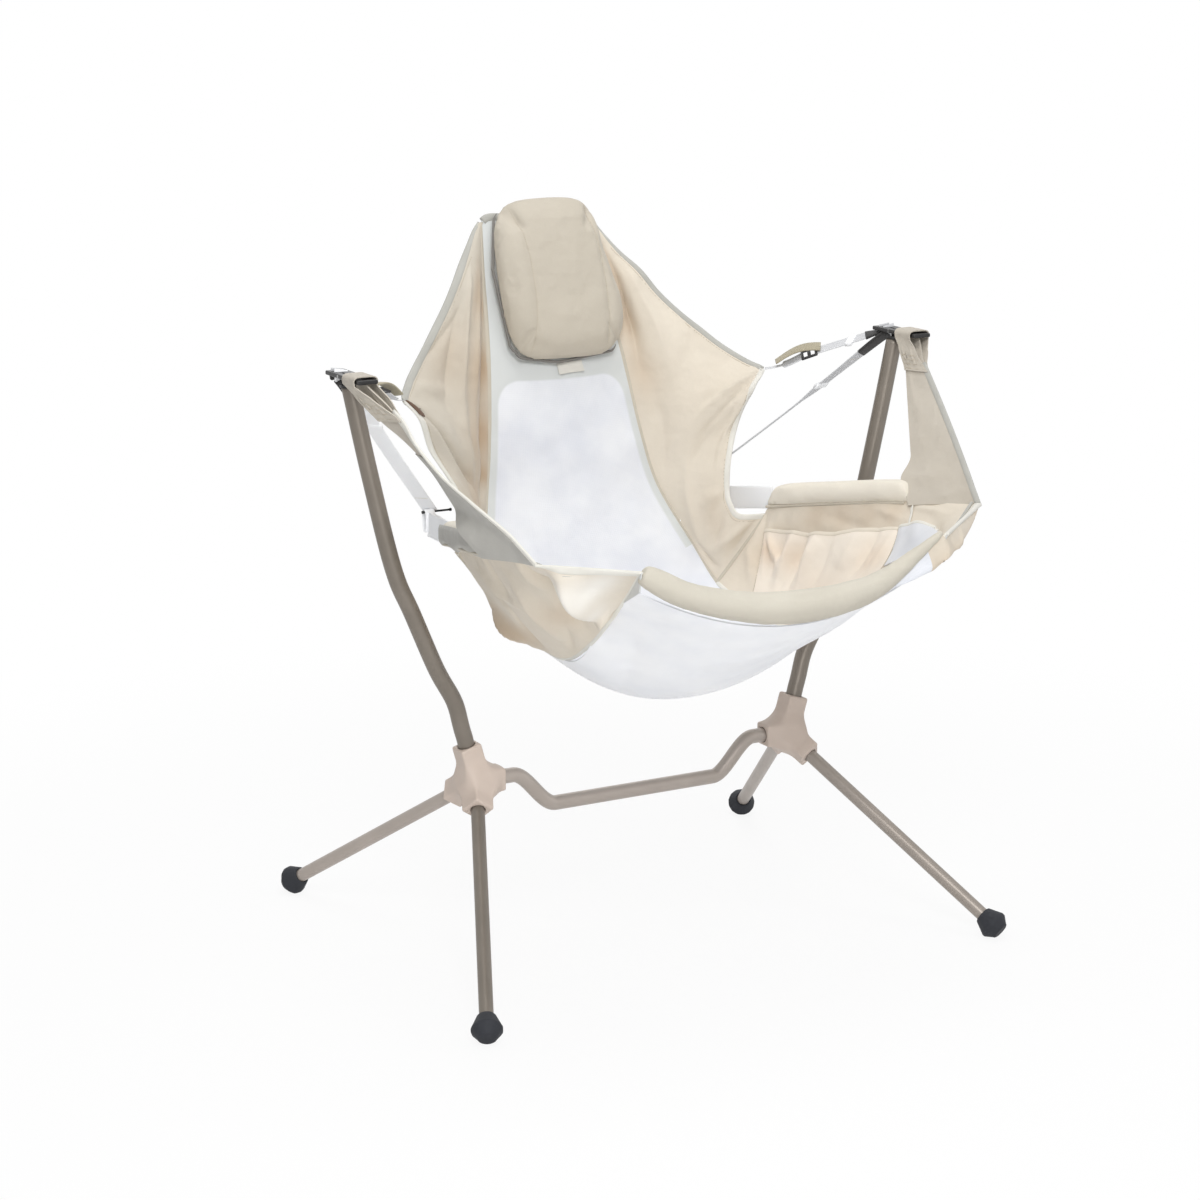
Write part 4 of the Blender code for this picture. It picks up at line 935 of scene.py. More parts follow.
sideLook = {
    "rows": 110, "columns": 60, "binding": 0.0115, "bindingThick": {1: 0.0060, -1: 0.0042}, "cord": 0.0026,
    "folds": {
        1: (((0.03, 0.95), (0.10, 0.35), -0.008, 0.008), ((0.02, 0.55), (0.12, 0.20), 0.006, 0.008),
            ((0.07, 0.80), (0.15, 0.30), 0.006, 0.008), ((0.30, 0.92), (0.52, 0.80), -0.004, 0.010),
            ((0.55, 0.95), (0.70, 0.82), 0.004, 0.008), ((0.72, 0.95), (0.86, 0.88), 0.006, 0.007),
            ((0.82, 0.80), (0.92, 0.35), -0.012, 0.022), ((0.80, 0.30), (0.93, 0.10), -0.014, 0.024)),
        -1: (((0.15, 0.38), (0.22, 0.08), -0.024, 0.022), ((0.30, 0.84), (0.46, 0.52), -0.010, 0.010),
             ((0.20, 0.78), (0.34, 0.50), 0.013, 0.007), ((0.34, 0.50), (0.29, 0.10), 0.016, 0.008),
             ((0.97, 0.74), (0.74, 0.10), -0.038, 0.021), ((0.84, 0.72), (0.62, 0.12), 0.020, 0.014),
             ((0.62, 0.74), (0.50, 0.14), -0.016, 0.018), ((0.835, 0.97), (0.765, 0.58), 0.014, 0.004),
             ((0.80, 0.94), (0.73, 0.60), -0.009, 0.006), ((0.70, 0.09), (0.78, 0.07), -0.013, 0.006),
             ((0.71, 0.04), (0.78, 0.02), 0.012, 0.005), ((0.46, 0.92), (0.43, 0.56), 0.010, 0.010),
             ((0.56, 0.20), (0.46, 0.06), 0.010, 0.008), ((0.93, 0.90), (0.88, 0.66), 0.007, 0.006)),
    },
    # warm spots: painted shade under the arm pad and in the left panel's folds
    "glow_and_shade_tint": {1: (((0.12, 0.5), 0.05, 0.35), ((0.28, 0.90), 0.03, 0.45), ((0.40, 0.90), 0.03, 0.45), ((0.52, 0.89), 0.03, 0.45),
                 ((0.64, 0.89), 0.03, 0.45)), -1: (((0.62, 0.30), 0.035, 0.45), ((0.17, 0.30), 0.035, 0.75), ((0.24, 0.18), 0.030, 0.6))},
    # pale spots: painted highlight on the left panel's upper facets, where light falls
    "painted_highlight": {1: (), -1: (((0.91, 0.62), 0.040, 0.5), ((0.88, 0.36), 0.038, 0.45), ((0.79, 0.20), 0.022, 0.4), ((0.95, 0.28), 0.034, 0.4))},
}


def foldedPanel(grid, folds, side, freeEdge):
    # the panel moved along its normal by its folds, which die out at its seams
    u, v = shares(grid)
    size = gridSize(grid)
    hold = smoothRise(u * size[0], 0.014) * smoothRise((1 - u) * size[0], 0.014) * smoothRise(v * size[1], 0.010)
    hold = hold * (1 if freeEdge else smoothRise((1 - v) * size[1], 0.012))
    hold = hold * smoothRise(np.linalg.norm(grid[:, -1] - grid[:, 0], axis=1)[:, None] - 0.03, 0.08)     # not at a narrow tip
    return grid + side * gridNormals(grid) * (foldField(u, v, size, folds) * hold)[..., None]


def makeBack():
    grid = middlePanel(sling["head"], sling["crease"], backLook["rows"], backLook["columns"], backLook["arch"])
    u, v = shares(grid)
    seamAway = np.abs(grid[:, -1:, 0]) * (1 - np.abs(2 * v - 1)) - backLook["windowInset"]
    run = runOf(grid[:, backLook["columns"] // 2])
    topAway = run[:, None] - backLook["windowTop"] * run[-1] + 0 * v
    corner = backLook["windowCorner"]
    q = np.stack((corner - seamAway, corner - topAway), axis=-1)
    away = np.linalg.norm(np.maximum(q, 0), axis=-1) + np.minimum(q.max(axis=-1), 0) - corner
    sunk = backLook["step"] * smoothRise(0.003 - away, 0.006) * smoothRise(run[-1] - run[:, None], 0.06)
    grid = grid - gridNormals(grid) * sunk[..., None]
    piece = clothPiece("back_mesh_panel", inset(grid, 0.0008, (-1,)), clothThick, whiteMesh, {"border": away / backLook["border"]})
    fit(piece, "seat", "white_mesh", "back_mesh")
    declareCloth(grid)
    fit(edgeTape("back_mesh_hem", grid[0, 1:-1], grid[3, 1:-1], greyTape, backLook["hem"], 0.0046), "seat", "pale_webbing")


def makeSeat():
    grid = middlePanel(sling["crease"], sling["lip"], seatLook["rows"], seatLook["columns"])
    u, v = shares(grid)
    size = gridSize(grid)
    hold = smoothRise(u * size[0], 0.03) * smoothRise((1 - u) * size[0], 0.02)
    hold = hold * smoothRise(v * size[1], 0.02) * smoothRise((1 - v) * size[1], 0.02)
    grid = grid + gridNormals(grid) * (foldField(u, v, size, seatLook["folds"]) * hold)[..., None]
    grid[..., 2] += seatLook["lift"] * np.sin(pi * u) ** 2 * np.sin(pi * v)
    # the seat's other face, the underside, takes the brighter copy: painted light
    piece = clothPiece("seat_mesh_panel", inset(grid, 0.0008, (0,)), clothThick, whiteMesh, {"border": 0 * u - 1}, paintedLightMesh)
    fit(piece, "seat", "white_mesh", "seat_mesh")
    declareCloth(grid)


def makeWing(side, label):
    grid = foldedPanel(wingGrid(side, wingLook["rows"], wingLook["columns"]), wingLook["folds"][side], side, True)
    # the wing's warm spots are painted glow and painted shade; the left wing takes the darker copy of the beige cloth,
    # painted shade
    painted_glow_and_shade = spotField(*shares(grid), gridSize(grid), wingLook["glow_and_shade_tint"][side])
    piece = clothPiece(f"wing_{label}_cloth", inset(grid, 0.0008), clothThick, beigeCloth if side > 0 else paintedShadeCloth, {"painted_glow_and_shade": painted_glow_and_shade})
    fit(piece, "seat", "beige_cloth", f"wing_{label}")
    declareCloth(grid)
    corner, width = wingLook["rows"] * 9 // 20, wingLook["tape"][side]
    slim = 0.5 + 0.5 * smoothRise(np.arange(wingLook["rows"] + 1), wingLook["tipRows"])
    for part, rows in (("top", slice(0, corner + 1)), ("side", slice(corner, None))):
        edge, inner = grid[rows, -1], grid[rows, -4]
        tape = edgeTape(f"wing_{label}_{part}_tape", edge, inner, greyTape if part == "top" else paleTape,
                        width if part == "top" else wingLook["tape"][1], 0.0042, slim[rows])
        fit(tape, "seat", "pale_webbing")
        away = edge + unit(inner - edge) * (width + 0.0012)
        rise = side * gridNormals(grid)[rows, -3]
        kept = slice(8, -2)
        fit(stitchRow(f"wing_{label}_{part}_stitches", away[kept] + rise[kept] * 0.0011, rise[kept], threadFinish), "seat", "beige_cloth")
    seam = grid[:, 0]
    rise = side * gridNormals(grid)[:, 1]
    cover = sweepPiece(f"wing_{label}_seam_tape", seam + rise * 0.0010, oval(10, 0.0036, 0.0011, 3.0), rise, beigeStrap)
    fit(cover, "seat", "beige_cloth")


def makeSidePanel(side, label):
    grid = foldedPanel(sideGrid(side, sideLook["rows"], sideLook["columns"]), sideLook["folds"][side], side, False)
    # the warm spots paint shade and the pale spots paint a highlight
    painted_glow_and_shade = spotField(*shares(grid), gridSize(grid), sideLook["glow_and_shade_tint"][side])
    painted_highlight = spotField(*shares(grid), gridSize(grid), sideLook["painted_highlight"][side])
    piece = clothPiece(f"side_panel_{label}_cloth", inset(grid, 0.0008), clothThick, beigeCloth, {"painted_glow_and_shade": painted_glow_and_shade, "painted_highlight": painted_highlight})
    fit(piece, "seat", "beige_cloth", f"side_panel_{label}")
    declareCloth(grid)
    edge, inner = grid[-1], grid[-4]
    fit(edgeTape(f"side_panel_{label}_front_tape", edge, inner, paleTape, sideLook["binding"], sideLook["bindingThick"][side]), "seat", "pale_webbing")
    rise = side * gridNormals(grid)
    second = edge + unit(inner - edge) * (sideLook["binding"] + 0.002) + rise[-1] * 0.002
    cord = oval(10, sideLook["cord"], sideLook["cord"])
    fit(sweepPiece(f"side_panel_{label}_front_cord", second, cord, rise[-1], greyTape), "seat", "pale_webbing")
    for part, line, facing, finish in (("seam", grid[:, 0], rise[:, 1], paleTape), ("rear", grid[0], rise[1], beigeStrap)):
        fit(sweepPiece(f"side_panel_{label}_{part}_tape", line + facing * 0.0004, oval(10, 0.0034, 0.0019, 3.0), facing, finish),
            "seat", "pale_webbing")
    return grid


# Pockets inside the arms

pocketLook = {
    "rows": 96, "columns": 44, "rear": (0.170, -0.145), "front": 0.685, "reach": (0.10, 0.735), "lift": 0.016, "elastic": 0.0065, "calm": 60,
    "folds": (((0.01, 0.98), (0.08, 0.40), -0.018, 0.008), ((0.04, 0.96), (0.16, 0.50), 0.019, 0.008),
              ((0.20, 0.86), (0.05, 0.30), -0.012, 0.009), ((0.28, 1.00), (0.16, 0.32), 0.014, 0.010),
              ((0.37, 1.00), (0.22, 0.26), -0.017, 0.010), ((0.46, 0.98), (0.34, 0.36), 0.013, 0.012),
              ((0.58, 1.00), (0.44, 0.35), -0.007, 0.012), ((0.75, 1.00), (0.64, 0.50), 0.006, 0.014),
              ((0.88, 0.98), (0.76, 0.40), -0.012, 0.010), ((0.97, 0.95), (0.90, 0.35), 0.007, 0.008)),
    # warm spots: painted shade under the elastic and painted glow where light comes through
    "glow_and_shade_tint": (((0.05, 0.70), 0.030, 0.7), ((0.28, 0.70), 0.030, 0.4), ((0.88, 0.55), 0.035, 0.55), ((0.50, 0.2), 0.05, 0.3)),
}
cupLook = {"rows": 44, "columns": 36, "reach": ((0.690, 0.860), (0.30, 0.725)), "lift": 0.012, "strap": (0.725, (0.70, 0.985))}


def makePocket(side, label, panel):
    u, v = np.meshgrid(np.linspace(0, 1, pocketLook["rows"] + 1), np.linspace(0, 1, pocketLook["columns"] + 1), indexing="ij")
    low, high = pocketLook["reach"]
    atV = low + (high - low) * v
    rear = pocketLook["rear"][0] + pocketLook["rear"][1] * atV
    under = readGrid(panel, rear + (pocketLook["front"] - rear) * u, atV)
    patch = relaxed(under, pocketLook["calm"])
    rise = side * gridNormals(patch)
    hold = np.sin(pi * u) ** 0.5 * smoothRise(v, 0.25)
    folds = foldField(u, v, gridSize(patch), pocketLook["folds"])
    lift = np.maximum(pocketLook["lift"] * np.sin(pi * u) ** 0.7 * smoothRise(v, 1.0) + folds * hold, 0)
    lift = 0.0026 + np.maximum(lift, ((under - patch) * rise).sum(axis=-1))         # above the panel's own folds
    grid = patch + rise * lift[..., None]
    # the warm spots are painted shade and painted glow
    painted_glow_and_shade = spotField(u, v, gridSize(patch), pocketLook["glow_and_shade_tint"])
    piece = clothPiece(f"pocket_{label}_cloth", grid, clothThick * 0.8, pocketCloth, {"painted_glow_and_shade": painted_glow_and_shade})
    fit(piece, "seat", "pocket_cloth", f"pocket_{label}")
    declareCloth(grid)
    fit(edgeTape(f"pocket_{label}_elastic", grid[:, -1], grid[:, -3], beigeCloth, pocketLook["elastic"], 0.0036), "seat", "pocket_cloth")
    for part, at in (("rear", 0), ("front", -1)):
        fit(stitchRow(f"pocket_{label}_{part}_stitches", grid[at] + rise[at] * 0.0012, rise[at], threadFinish), "seat", "beige_cloth")


def makeCupPocket(panel):
    (u0, u1), (v0, v1) = cupLook["reach"]
    u, v = np.meshgrid(np.linspace(0, 1, cupLook["rows"] + 1), np.linspace(0, 1, cupLook["columns"] + 1), indexing="ij")
    patch = readGrid(panel, u0 + (u1 - u0) * u, v0 + (v1 - v0) * v * (1 - 0.12 * u))
    lift = 0.0030 + cupLook["lift"] * np.sin(pi * u) ** 0.6 * smoothRise(v, 1.0) + 0.0015 * np.sin(14 * u) * v
    grid = patch + gridNormals(patch) * lift[..., None]
    piece = clothPiece("cup_pocket_mesh", grid, clothThick * 0.8, greyMesh, {"border": 0 * u - 1})
    fit(piece, "seat", "white_mesh", "cup_pocket")
    declareCloth(grid)
    fit(edgeTape("cup_pocket_rim", grid[:, -1], grid[:, -3], paleTape, 0.006, 0.0034), "seat", "pale_webbing")
    rise = np.linspace(*cupLook["strap"][1], 24)
    line = readGrid(panel, 0 * rise + cupLook["strap"][0], rise) - np.array((0.0026, 0, 0))
    fit(sweepPiece("cup_pocket_strap", line, oval(10, 0.0030, 0.0012, 3.0), (-1, 0, 0), paleTape), "seat", "pale_webbing")


def makeCorner(side, label, panel):
    # closes the corner between the side panel's front, the seat's seam and the stuffed lip
    count, columns = 24, 8
    start = sling["sideFrontStation"]
    seam = seamRail(start, sling["lip"], count, side)
    first = np.linalg.norm(panel[:, 0] - seam[0], axis=1).argmin()
    edge = respaced(panel[first:, 0], count)
    share = np.linspace(0, 1, columns + 1)[None, :, None]
    grid = edge[:, None] * (1 - share) + seam[:, None] * share + np.array((0, -0.002, 0))
    piece = clothPiece(f"front_corner_{label}_cloth", grid[2:], clothThick, liningCloth)
    fit(piece, "seat", "pale_webbing")
    declareCloth(grid[2:])


# the loose cloth outside the right front corner, from the lip's thin end to the arm

gussetLook = {"rows": 64, "columns": 20, "lipFrom": 0.42, "split": 23, "foot": 46, "bulge": (0.007, -0.010, -0.011),
              "folds": (((0.30, 0.2), (0.40, 1.0), -0.003, 0.008), ((0.50, 0.1), (0.58, 0.9), 0.003, 0.008),
                        ((0.66, 0.2), (0.60, 0.9), -0.004, 0.008))}


def makeGusset(panel):
    s = np.linspace(gussetLook["lipFrom"], 1, 9)
    axis, _ = lipLine(s)
    edge = axis - np.stack((0 * s, 0 * s, lipRise(s)), axis=1)
    front = panel[-1, ::10]
    upper = evenly(np.vstack((axis, front[1:])), gussetLook["rows"])
    lower = evenly(np.vstack((edge, panel[-1, gussetLook["foot"]][None])), gussetLook["rows"])
    share = np.linspace(0, 1, gussetLook["columns"] + 1)[None, :, None]
    along = np.linspace(0, 1, gussetLook["rows"] + 1)[:, None, None]
    grid = upper[:, None] * (1 - share) + lower[:, None] * share
    grid = grid + np.sqrt(np.sin(pi * along).clip(0)) * np.sin(0.72 * pi * share) * np.array(gussetLook["bulge"])
    u, v = shares(grid)
    folds = foldField(u, v, gridSize(grid), gussetLook["folds"]) * np.sin(pi * u)
    grid = grid + gridNormals(grid) * folds[..., None]
    for part, rows, finish, slot in (("mesh", slice(None, gussetLook["split"] + 1), whiteMesh, "white_mesh"),
                                     ("cloth", slice(gussetLook["split"], None), beigeCloth, "beige_cloth")):
        # the cloth part grows warmer towards its lower edge: painted glow where light comes through
        marks = {"border": 0 * u[rows] - 1} if part == "mesh" else {"painted_glow_and_shade": 0.5 * v[rows]}
        piece = clothPiece(f"front_gusset_right_{part}", grid[rows], clothThick, finish, marks)
        fit(piece, "seat", slot)
        declareCloth(grid[rows])


# the left wing's corner is turned over by its strap; a dark brown sheet on it is painted shadow inside the fold

def makeCornerFlap():
    grid = foldedPanel(wingGrid(-1, wingLook["rows"], wingLook["columns"]), wingLook["folds"][-1], -1, True)
    u, v = np.meshgrid(np.linspace(0, 1, 17), np.linspace(0, 1, 13), indexing="ij")
    patch = readGrid(grid, 0.452 + 0.052 * u, 0.995 - 0.15 * v * (1 - 0.6 * u))
    patch = patch + gridNormals(patch) * (0.0030 + 0.003 * np.sin(pi * v) * (1 - u))[..., None]
    piece = clothPiece("wing_left_corner_flap", patch, 0.0012, paintedShadowCloth)
    fit(piece, "seat", "beige_cloth")
    declareCloth(patch)


makeBack()
makeSeat()
panels = {}
for side, label in ((-1, "left"), (1, "right")):
    makeWing(side, label)
    panels[label] = makeSidePanel(side, label)
    makePocket(side, label, panels[label])
    makeCorner(side, label, panels[label])
makeCupPocket(panels["right"])
makeGusset(panels["right"])
makeCornerFlap()
print("panels and pockets made")


# Stuffed pieces

padLook = {"halfHeight": 0.0172, "halfWidth": 0.0152, "square": 4.5, "voxel": 0.0040, "cap": 0.003, "fill": 0.7,
           "shear": (0.85, -0.50), "shearRun": 0.045, "pleats": 0.0016, "pleatRun": 0.028, "stop": 54}
pillowLook = {"halfWidth": 0.1020, "halfLength": 0.1285, "crown": 0.028, "back": 0.0105, "standoff": 0.0119, "overhang": 0.007,
              "station": 2, "shift": 0.0090, "grid": 48, "shadowedRim": (97, 208), "power": 4.2, "taper": 0.12, "sway": 0.0085, "seamDepth": 0.0040, "seamWidth": 0.0036,
              # the sewn lines, in shares of the half width: at half height and what is added towards both ends
              "seams": {-1: (0.50, 0.20), 1: (0.69, -0.10)}, "voxel": 0.0040, "cap": 0.005, "fill": 0.65}


def swollen(name, points, faceSets, finish, look, dent=None, tint=None):
    # a stuffed form: remeshed, blown out by cloth pressure with a cap on each point's move, then sewn lines pressed in
    piece = newPiece(name, points, faceSets, finish, closed=True)
    join = piece.modifiers.new("join", "WELD")
    join.merge_threshold = 0.0004
    remesh = piece.modifiers.new("voxels", "REMESH")
    remesh.mode, remesh.voxel_size, remesh.use_smooth_shade = "VOXEL", look["voxel"], True
    bpy.context.view_layer.update()
    mesh = bpy.data.meshes.new_from_object(piece.evaluated_get(bpy.context.evaluated_depsgraph_get()))
    piece.modifiers.clear()
    piece.data = mesh
    rest = np.empty(len(mesh.vertices) * 3)
    mesh.vertices.foreach_get("co", rest)
    swell = piece.modifiers.new("swell", "CLOTH")
    swell.settings.use_pressure, swell.settings.uniform_pressure_force = True, 4.0
    swell.settings.effector_weights.gravity = 0
    for step in range(1, 21):
        scene.frame_set(step)
    moved = piece.evaluated_get(bpy.context.evaluated_depsgraph_get()).data
    blown = np.empty(len(rest))
    moved.vertices.foreach_get("co", blown)
    move = (blown - rest).reshape(-1, 3)
    far = np.linalg.norm(move, axis=1, keepdims=True)
    rest = rest + (move * np.minimum(1, look["cap"] / np.maximum(far, 1e-9))).ravel()
    piece.modifiers.clear()
    scene.frame_set(1)
    mesh.vertices.foreach_set("co", rest)
    mesh.update()
    if dent:
        facing = np.empty(len(rest))
        mesh.vertices.foreach_get("normal", facing)
        spots, facing = rest.reshape(-1, 3), facing.reshape(-1, 3)
        mesh.vertices.foreach_set("co", (spots - facing * dent(spots - (0, rootY, 0), facing)[:, None]).ravel())
    # a tint mark, such as the painted shade on the lip's lower half
    if tint:
        mesh.attributes.new("painted_glow_and_shade", "FLOAT", "POINT").data.foreach_set("value", tint(rest.reshape(-1, 3) - (0, rootY, 0)))
    mesh.shade_smooth()
    finer = piece.modifiers.new("finer", "SUBSURF")
    finer.levels = finer.render_levels = 1
    return piece


def rollForm(axis, halfHeights, halfWidths, square, taper, lean=(0.0, 0.0), sides=32):
    # rounded sections along an axis, drawn in at both ends by 1 - taper |t|^16; both ends may lean
    axis = evenly(axis, 80)
    share = np.linspace(0, 1, len(axis))
    heights, widths = (np.interp(share, np.linspace(0, 1, len(half)), half) for half in (halfHeights, halfWidths))
    along = unit(np.gradient(axis, axis=0))
    across = unit(np.cross(along, (0, 0, 1)))
    rise = np.cross(across, along)
    outline = oval(sides, 1, 1, square)
    full = (1 - taper * np.abs(2 * share - 1) ** 16)[:, None, None]
    level = full * heights[:, None, None] * outline[None, :, 1:]
    rings = axis[:, None] + full * widths[:, None, None] * outline[None, :, :1] * across[:, None] + level * rise[:, None]
    run = runOf(axis)
    leans = lean[0] * (1 - smoothRise(run, padLook["shearRun"])) + lean[1] * (1 - smoothRise(run[-1] - run, padLook["shearRun"]))
    rings = rings + leans[:, None, None] * level * along[:, None]
    count, last = sides, (len(axis) - 1) * sides
    k = np.arange(count)
    after, ends = (k + 1) % count, np.full(count, len(axis) * count)
    caps = np.vstack((np.stack((k, after, ends), 1), np.stack((last + after, last + k, ends + 1), 1)))
    return np.vstack((rings.reshape(-1, 3), axis[:1], axis[-1:])), [gridFaces(len(axis), count, True), caps]


def laidOn(piece, spots, way):
    # where rays along a direction from the spots meet a piece
    shape = piece.evaluated_get(bpy.context.evaluated_depsgraph_get())
    hits = [shape.ray_cast(Vector(spot), Vector(way)) for spot in np.asarray(spots) + (0, rootY, 0)]
    return np.array([hit[1] for hit in hits if hit[0]]) - (0, rootY, 0)


def makeArmPad(side, label):
    axis = armLine(side, 80)[:padLook["stop"] + 1:6]
    rear, along = axis[0], unit(axis[1] - axis[0])

    def pleated(spots, facing):
        # short pleats where the rear end is gathered into the seam below
        run, low = (spots - rear) @ along, (rear[2] - spots[:, 2]) / padLook["halfHeight"]
        near = np.exp(-((run - 0.012) / padLook["pleatRun"]) ** 2) * smoothRise(low - 0.1, 0.8)
        return padLook["pleats"] * near * (1 + np.sin(run * 620 + 2.0 * low))

    size = np.full(2, padLook["halfHeight"]), np.full(2, padLook["halfWidth"])
    points, faceSets = rollForm(axis, *size, padLook["square"], 0.22, padLook["shear"])
    fit(swollen(f"arm_pad_{label}_roll", points, faceSets, padCloth, padLook, pleated), "seat", "beige_cloth", f"arm_pad_{label}")
    low = evenly(axis, 80) - (0, 0, padLook["halfHeight"] - 0.0012)
    for part, way in (("inner", -side), ("outer", side)):
        line = low + (way * (padLook["halfWidth"] - 0.0020), 0, 0)
        fit(sweepPiece(f"arm_pad_{label}_{part}_piping", line, oval(10, 0.0021, 0.0021), (0, 0, 1), beigeStrap), "seat", "beige_cloth")


def makeLip():
    axis, heights = lipLine(np.linspace(-1.0, 1.0, 61))
    widths = lipLook["halfThick"] * np.minimum(1, 0.35 + 0.65 * heights / 0.018)
    points, faceSets = rollForm(axis, heights, widths, 2.5, 0.22)

    def lower(spots):
        # the roll's lower half is darker: painted shade below its axis
        under = np.interp(spots[:, 0], axis[:, 0], axis[:, 2]) - spots[:, 2]
        return smoothRise(under + 0.006, 0.016).astype(np.float32)

    fit(swollen("lip_pad_roll", points, faceSets, creamCloth, lipLook, tint=lower), "seat", "beige_cloth", "lip_pad")


def pillowFrame():
    low = middleRail(pillowLook["station"], pillowLook["station"], 0)[0]
    up = unit(middleRail(sling["head"], sling["head"], 0)[0] - low)
    out = np.array((0, -up[2], up[1]))
    centre = low + up * (pillowLook["halfLength"] - pillowLook["overhang"]) + out * pillowLook["standoff"]
    return centre + (pillowLook["shift"], 0, 0), up, out


def pillowOutline(a, b):
    # squares drawn towards rounded outlines, (x, y) = (a, b) / (|a / m|^p + |b / m|^p)^(1 / p), narrower at the top
    most = np.maximum(np.maximum(np.abs(a), np.abs(b)), 1e-6)
    drawn = (np.abs(a / most) ** pillowLook["power"] + np.abs(b / most) ** pillowLook["power"]) ** (-1 / pillowLook["power"])
    x, y = a * drawn, b * drawn
    wide = pillowLook["halfWidth"] * (1 - pillowLook["taper"] * np.clip(y, 0, 1) ** 2)
    return x * wide - pillowLook["sway"] * np.sin(pi * y) * np.clip(x, 0, 1) ** 2, y * pillowLook["halfLength"]


def pillowSeam(side, height):
    # a sewn line's place across at a height from -1 to 1
    middle, added = pillowLook["seams"][side]
    return side * pillowLook["halfWidth"] * (middle + added * height ** 2)


def makePillow():
    centre, up, out = pillowFrame()
    count = pillowLook["grid"]
    a, b = np.meshgrid(np.linspace(-1, 1, count), np.linspace(-1, 1, count), indexing="ij")
    x, y = pillowOutline(a, b)
    flat = centre + x[..., None] * (1, 0, 0) + y[..., None] * up
    full = np.sqrt(np.clip((1 - a ** 6) * (1 - b ** 6), 0, 1))[..., None]
    points = np.vstack(((flat + out * full * pillowLook["crown"]).reshape(-1, 3),
                        (flat - out * full * pillowLook["back"]).reshape(-1, 3)))
    faces = gridFaces(count, count)

    def sewn(spots, facing):
        local = spots - centre
        height = np.clip((local @ up) / pillowLook["halfLength"], -1, 1)
        line = np.minimum(*(np.abs(local[:, 0] - pillowSeam(side, height)) for side in (-1, 1)))
        ends = smoothRise(0.90 - np.abs(height), 0.12)
        return pillowLook["seamDepth"] * np.exp(-line / pillowLook["seamWidth"]) * ends * (facing @ out > 0.2)

    pillow = swollen("headrest_pillow_cushion", points, [faces, faces[:, ::-1] + len(points) // 2], pillowCloth, pillowLook, sewn)
    height = np.linspace(-0.86, 0.86, 60)
    for side, label in ((-1, "left"), (1, "right")):
        spots = centre + pillowSeam(side, height)[:, None] * (1, 0, 0) + np.outer(height * pillowLook["halfLength"], up) + out * 0.2
        line = laidOn(pillow, spots, -out)
        fit(stitchRow(f"headrest_pillow_{label}_stitches", line + out * 0.0002, out, threadFinish), "seat", "beige_cloth")
    fit(pillow, "seat", "beige_cloth", "headrest_pillow")
    # a dark piping cord down the left edge and along the bottom: painted shadow of the gap between the pillow and the
    # mesh
    x, y = pillowOutline(*oval(240, 1, 1, 40.0)[slice(*pillowLook["shadowedRim"])].T)
    rim = respaced(centre + 0.99 * (x[:, None] * (1, 0, 0) + y[:, None] * up), 180) - out * 0.0025
    ends = np.minimum(1, 0.25 + 0.1 * np.minimum(np.arange(181), np.arange(181)[::-1]))
    fit(sweepPiece("headrest_pillow_shadow_piping", rim, oval(10, 0.0022, 0.0022), out, paintedShadowTape, ends), "seat", "beige_cloth")


makeLip()
makePillow()
for side, label in ((-1, "left"), (1, "right")):
    makeArmPad(side, label)
print("stuffed pieces made")


# Straps

strapLook = {"front": 0.038, "rear": 0.020, "band": 0.035, "thick": 0.0020, "rows": 72, "columns": 26, "tape": 0.009,
             "flare": 0.003, "neck": 0.15, "bow": 0.001, "corner": 0.004, "seamLean": 0.010, "sleeve": 0.0175, "start": 55, "rearWide": 0.0245, "rodMore": 0.018, "joint": (0.230, 0.214, 0.604), "adjusterShare": 0.62, "adjuster": (0.026, 0.020, 0.004),
             "tab": (-0.55, 0.90, 0.050), "frontSlot": 0.041, "rearSlot": 0.021, "backSlot": 0.033,
             # turn of the arm panel about its middle line, from the bracket to the arm
             "twist": {1: (0.0, 0.0, 0.0, 0.0, 0.0, 0.0, 0.0), -1: (0.0, 0.42, -0.10, -0.23, -0.08, 0.06, 0.0)},
             "rearWay": {1: ((1.0, 0.35, 0), (1.0, 0.84, 0)), -1: ((-1.0, 0.85, 0), (-1.0, 0.85, 0))}, "backWay": {1: (1.0, 0.7, 0.6), -1: (-1.0, 0.7, 0)}}


def overJoint(piece, side, ends=None):
    # the strap's placement is baked into its mesh; the ends between the bracket and the sling are found, from one end
    # to the other where they are given, but nothing bends
    pivot = sided(swingAt, side)
    start, end = ends or (pivot - (0, 0, 0.02), np.array((*pivot[:2], sling["armAxis"][2][2] + 0.03)))
    tuple(start + (0, rootY, 0))
    tuple(end + (0, rootY, 0))
    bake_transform(piece)
    return piece


def flatStrap(name, middle, ways, width, thick, finish, sizes=1.0):
    # a flat oval carried along, its width along the given directions
    along = unit(np.gradient(np.asarray(middle, float), axis=0))
    rise = np.cross(unit(np.asarray(ways, float)), along)
    return sweepPiece(name, middle, oval(16, width / 2, thick / 2, 4.0), rise, finish, sizes)


def keeper(name, middle, ways, finish, side, ends=None):
    # a sewn sleeve over a strap
    piece = flatStrap(name, middle, ways, strapLook["rear"] + 0.003, 0.0046, finish)
    overJoint(piece, side, ends)


def lock(name, at, along, across, side, ends=None):
    # a small bar buckle on a strap
    path = np.linspace(at - across * 0.0125, at + across * 0.0125, 9)
    piece = sweepPiece(name, path, oval(14, 0.0062, 0.0030, 3.0), np.cross(along, across), paleWebbing)
    overJoint(piece, side, ends)


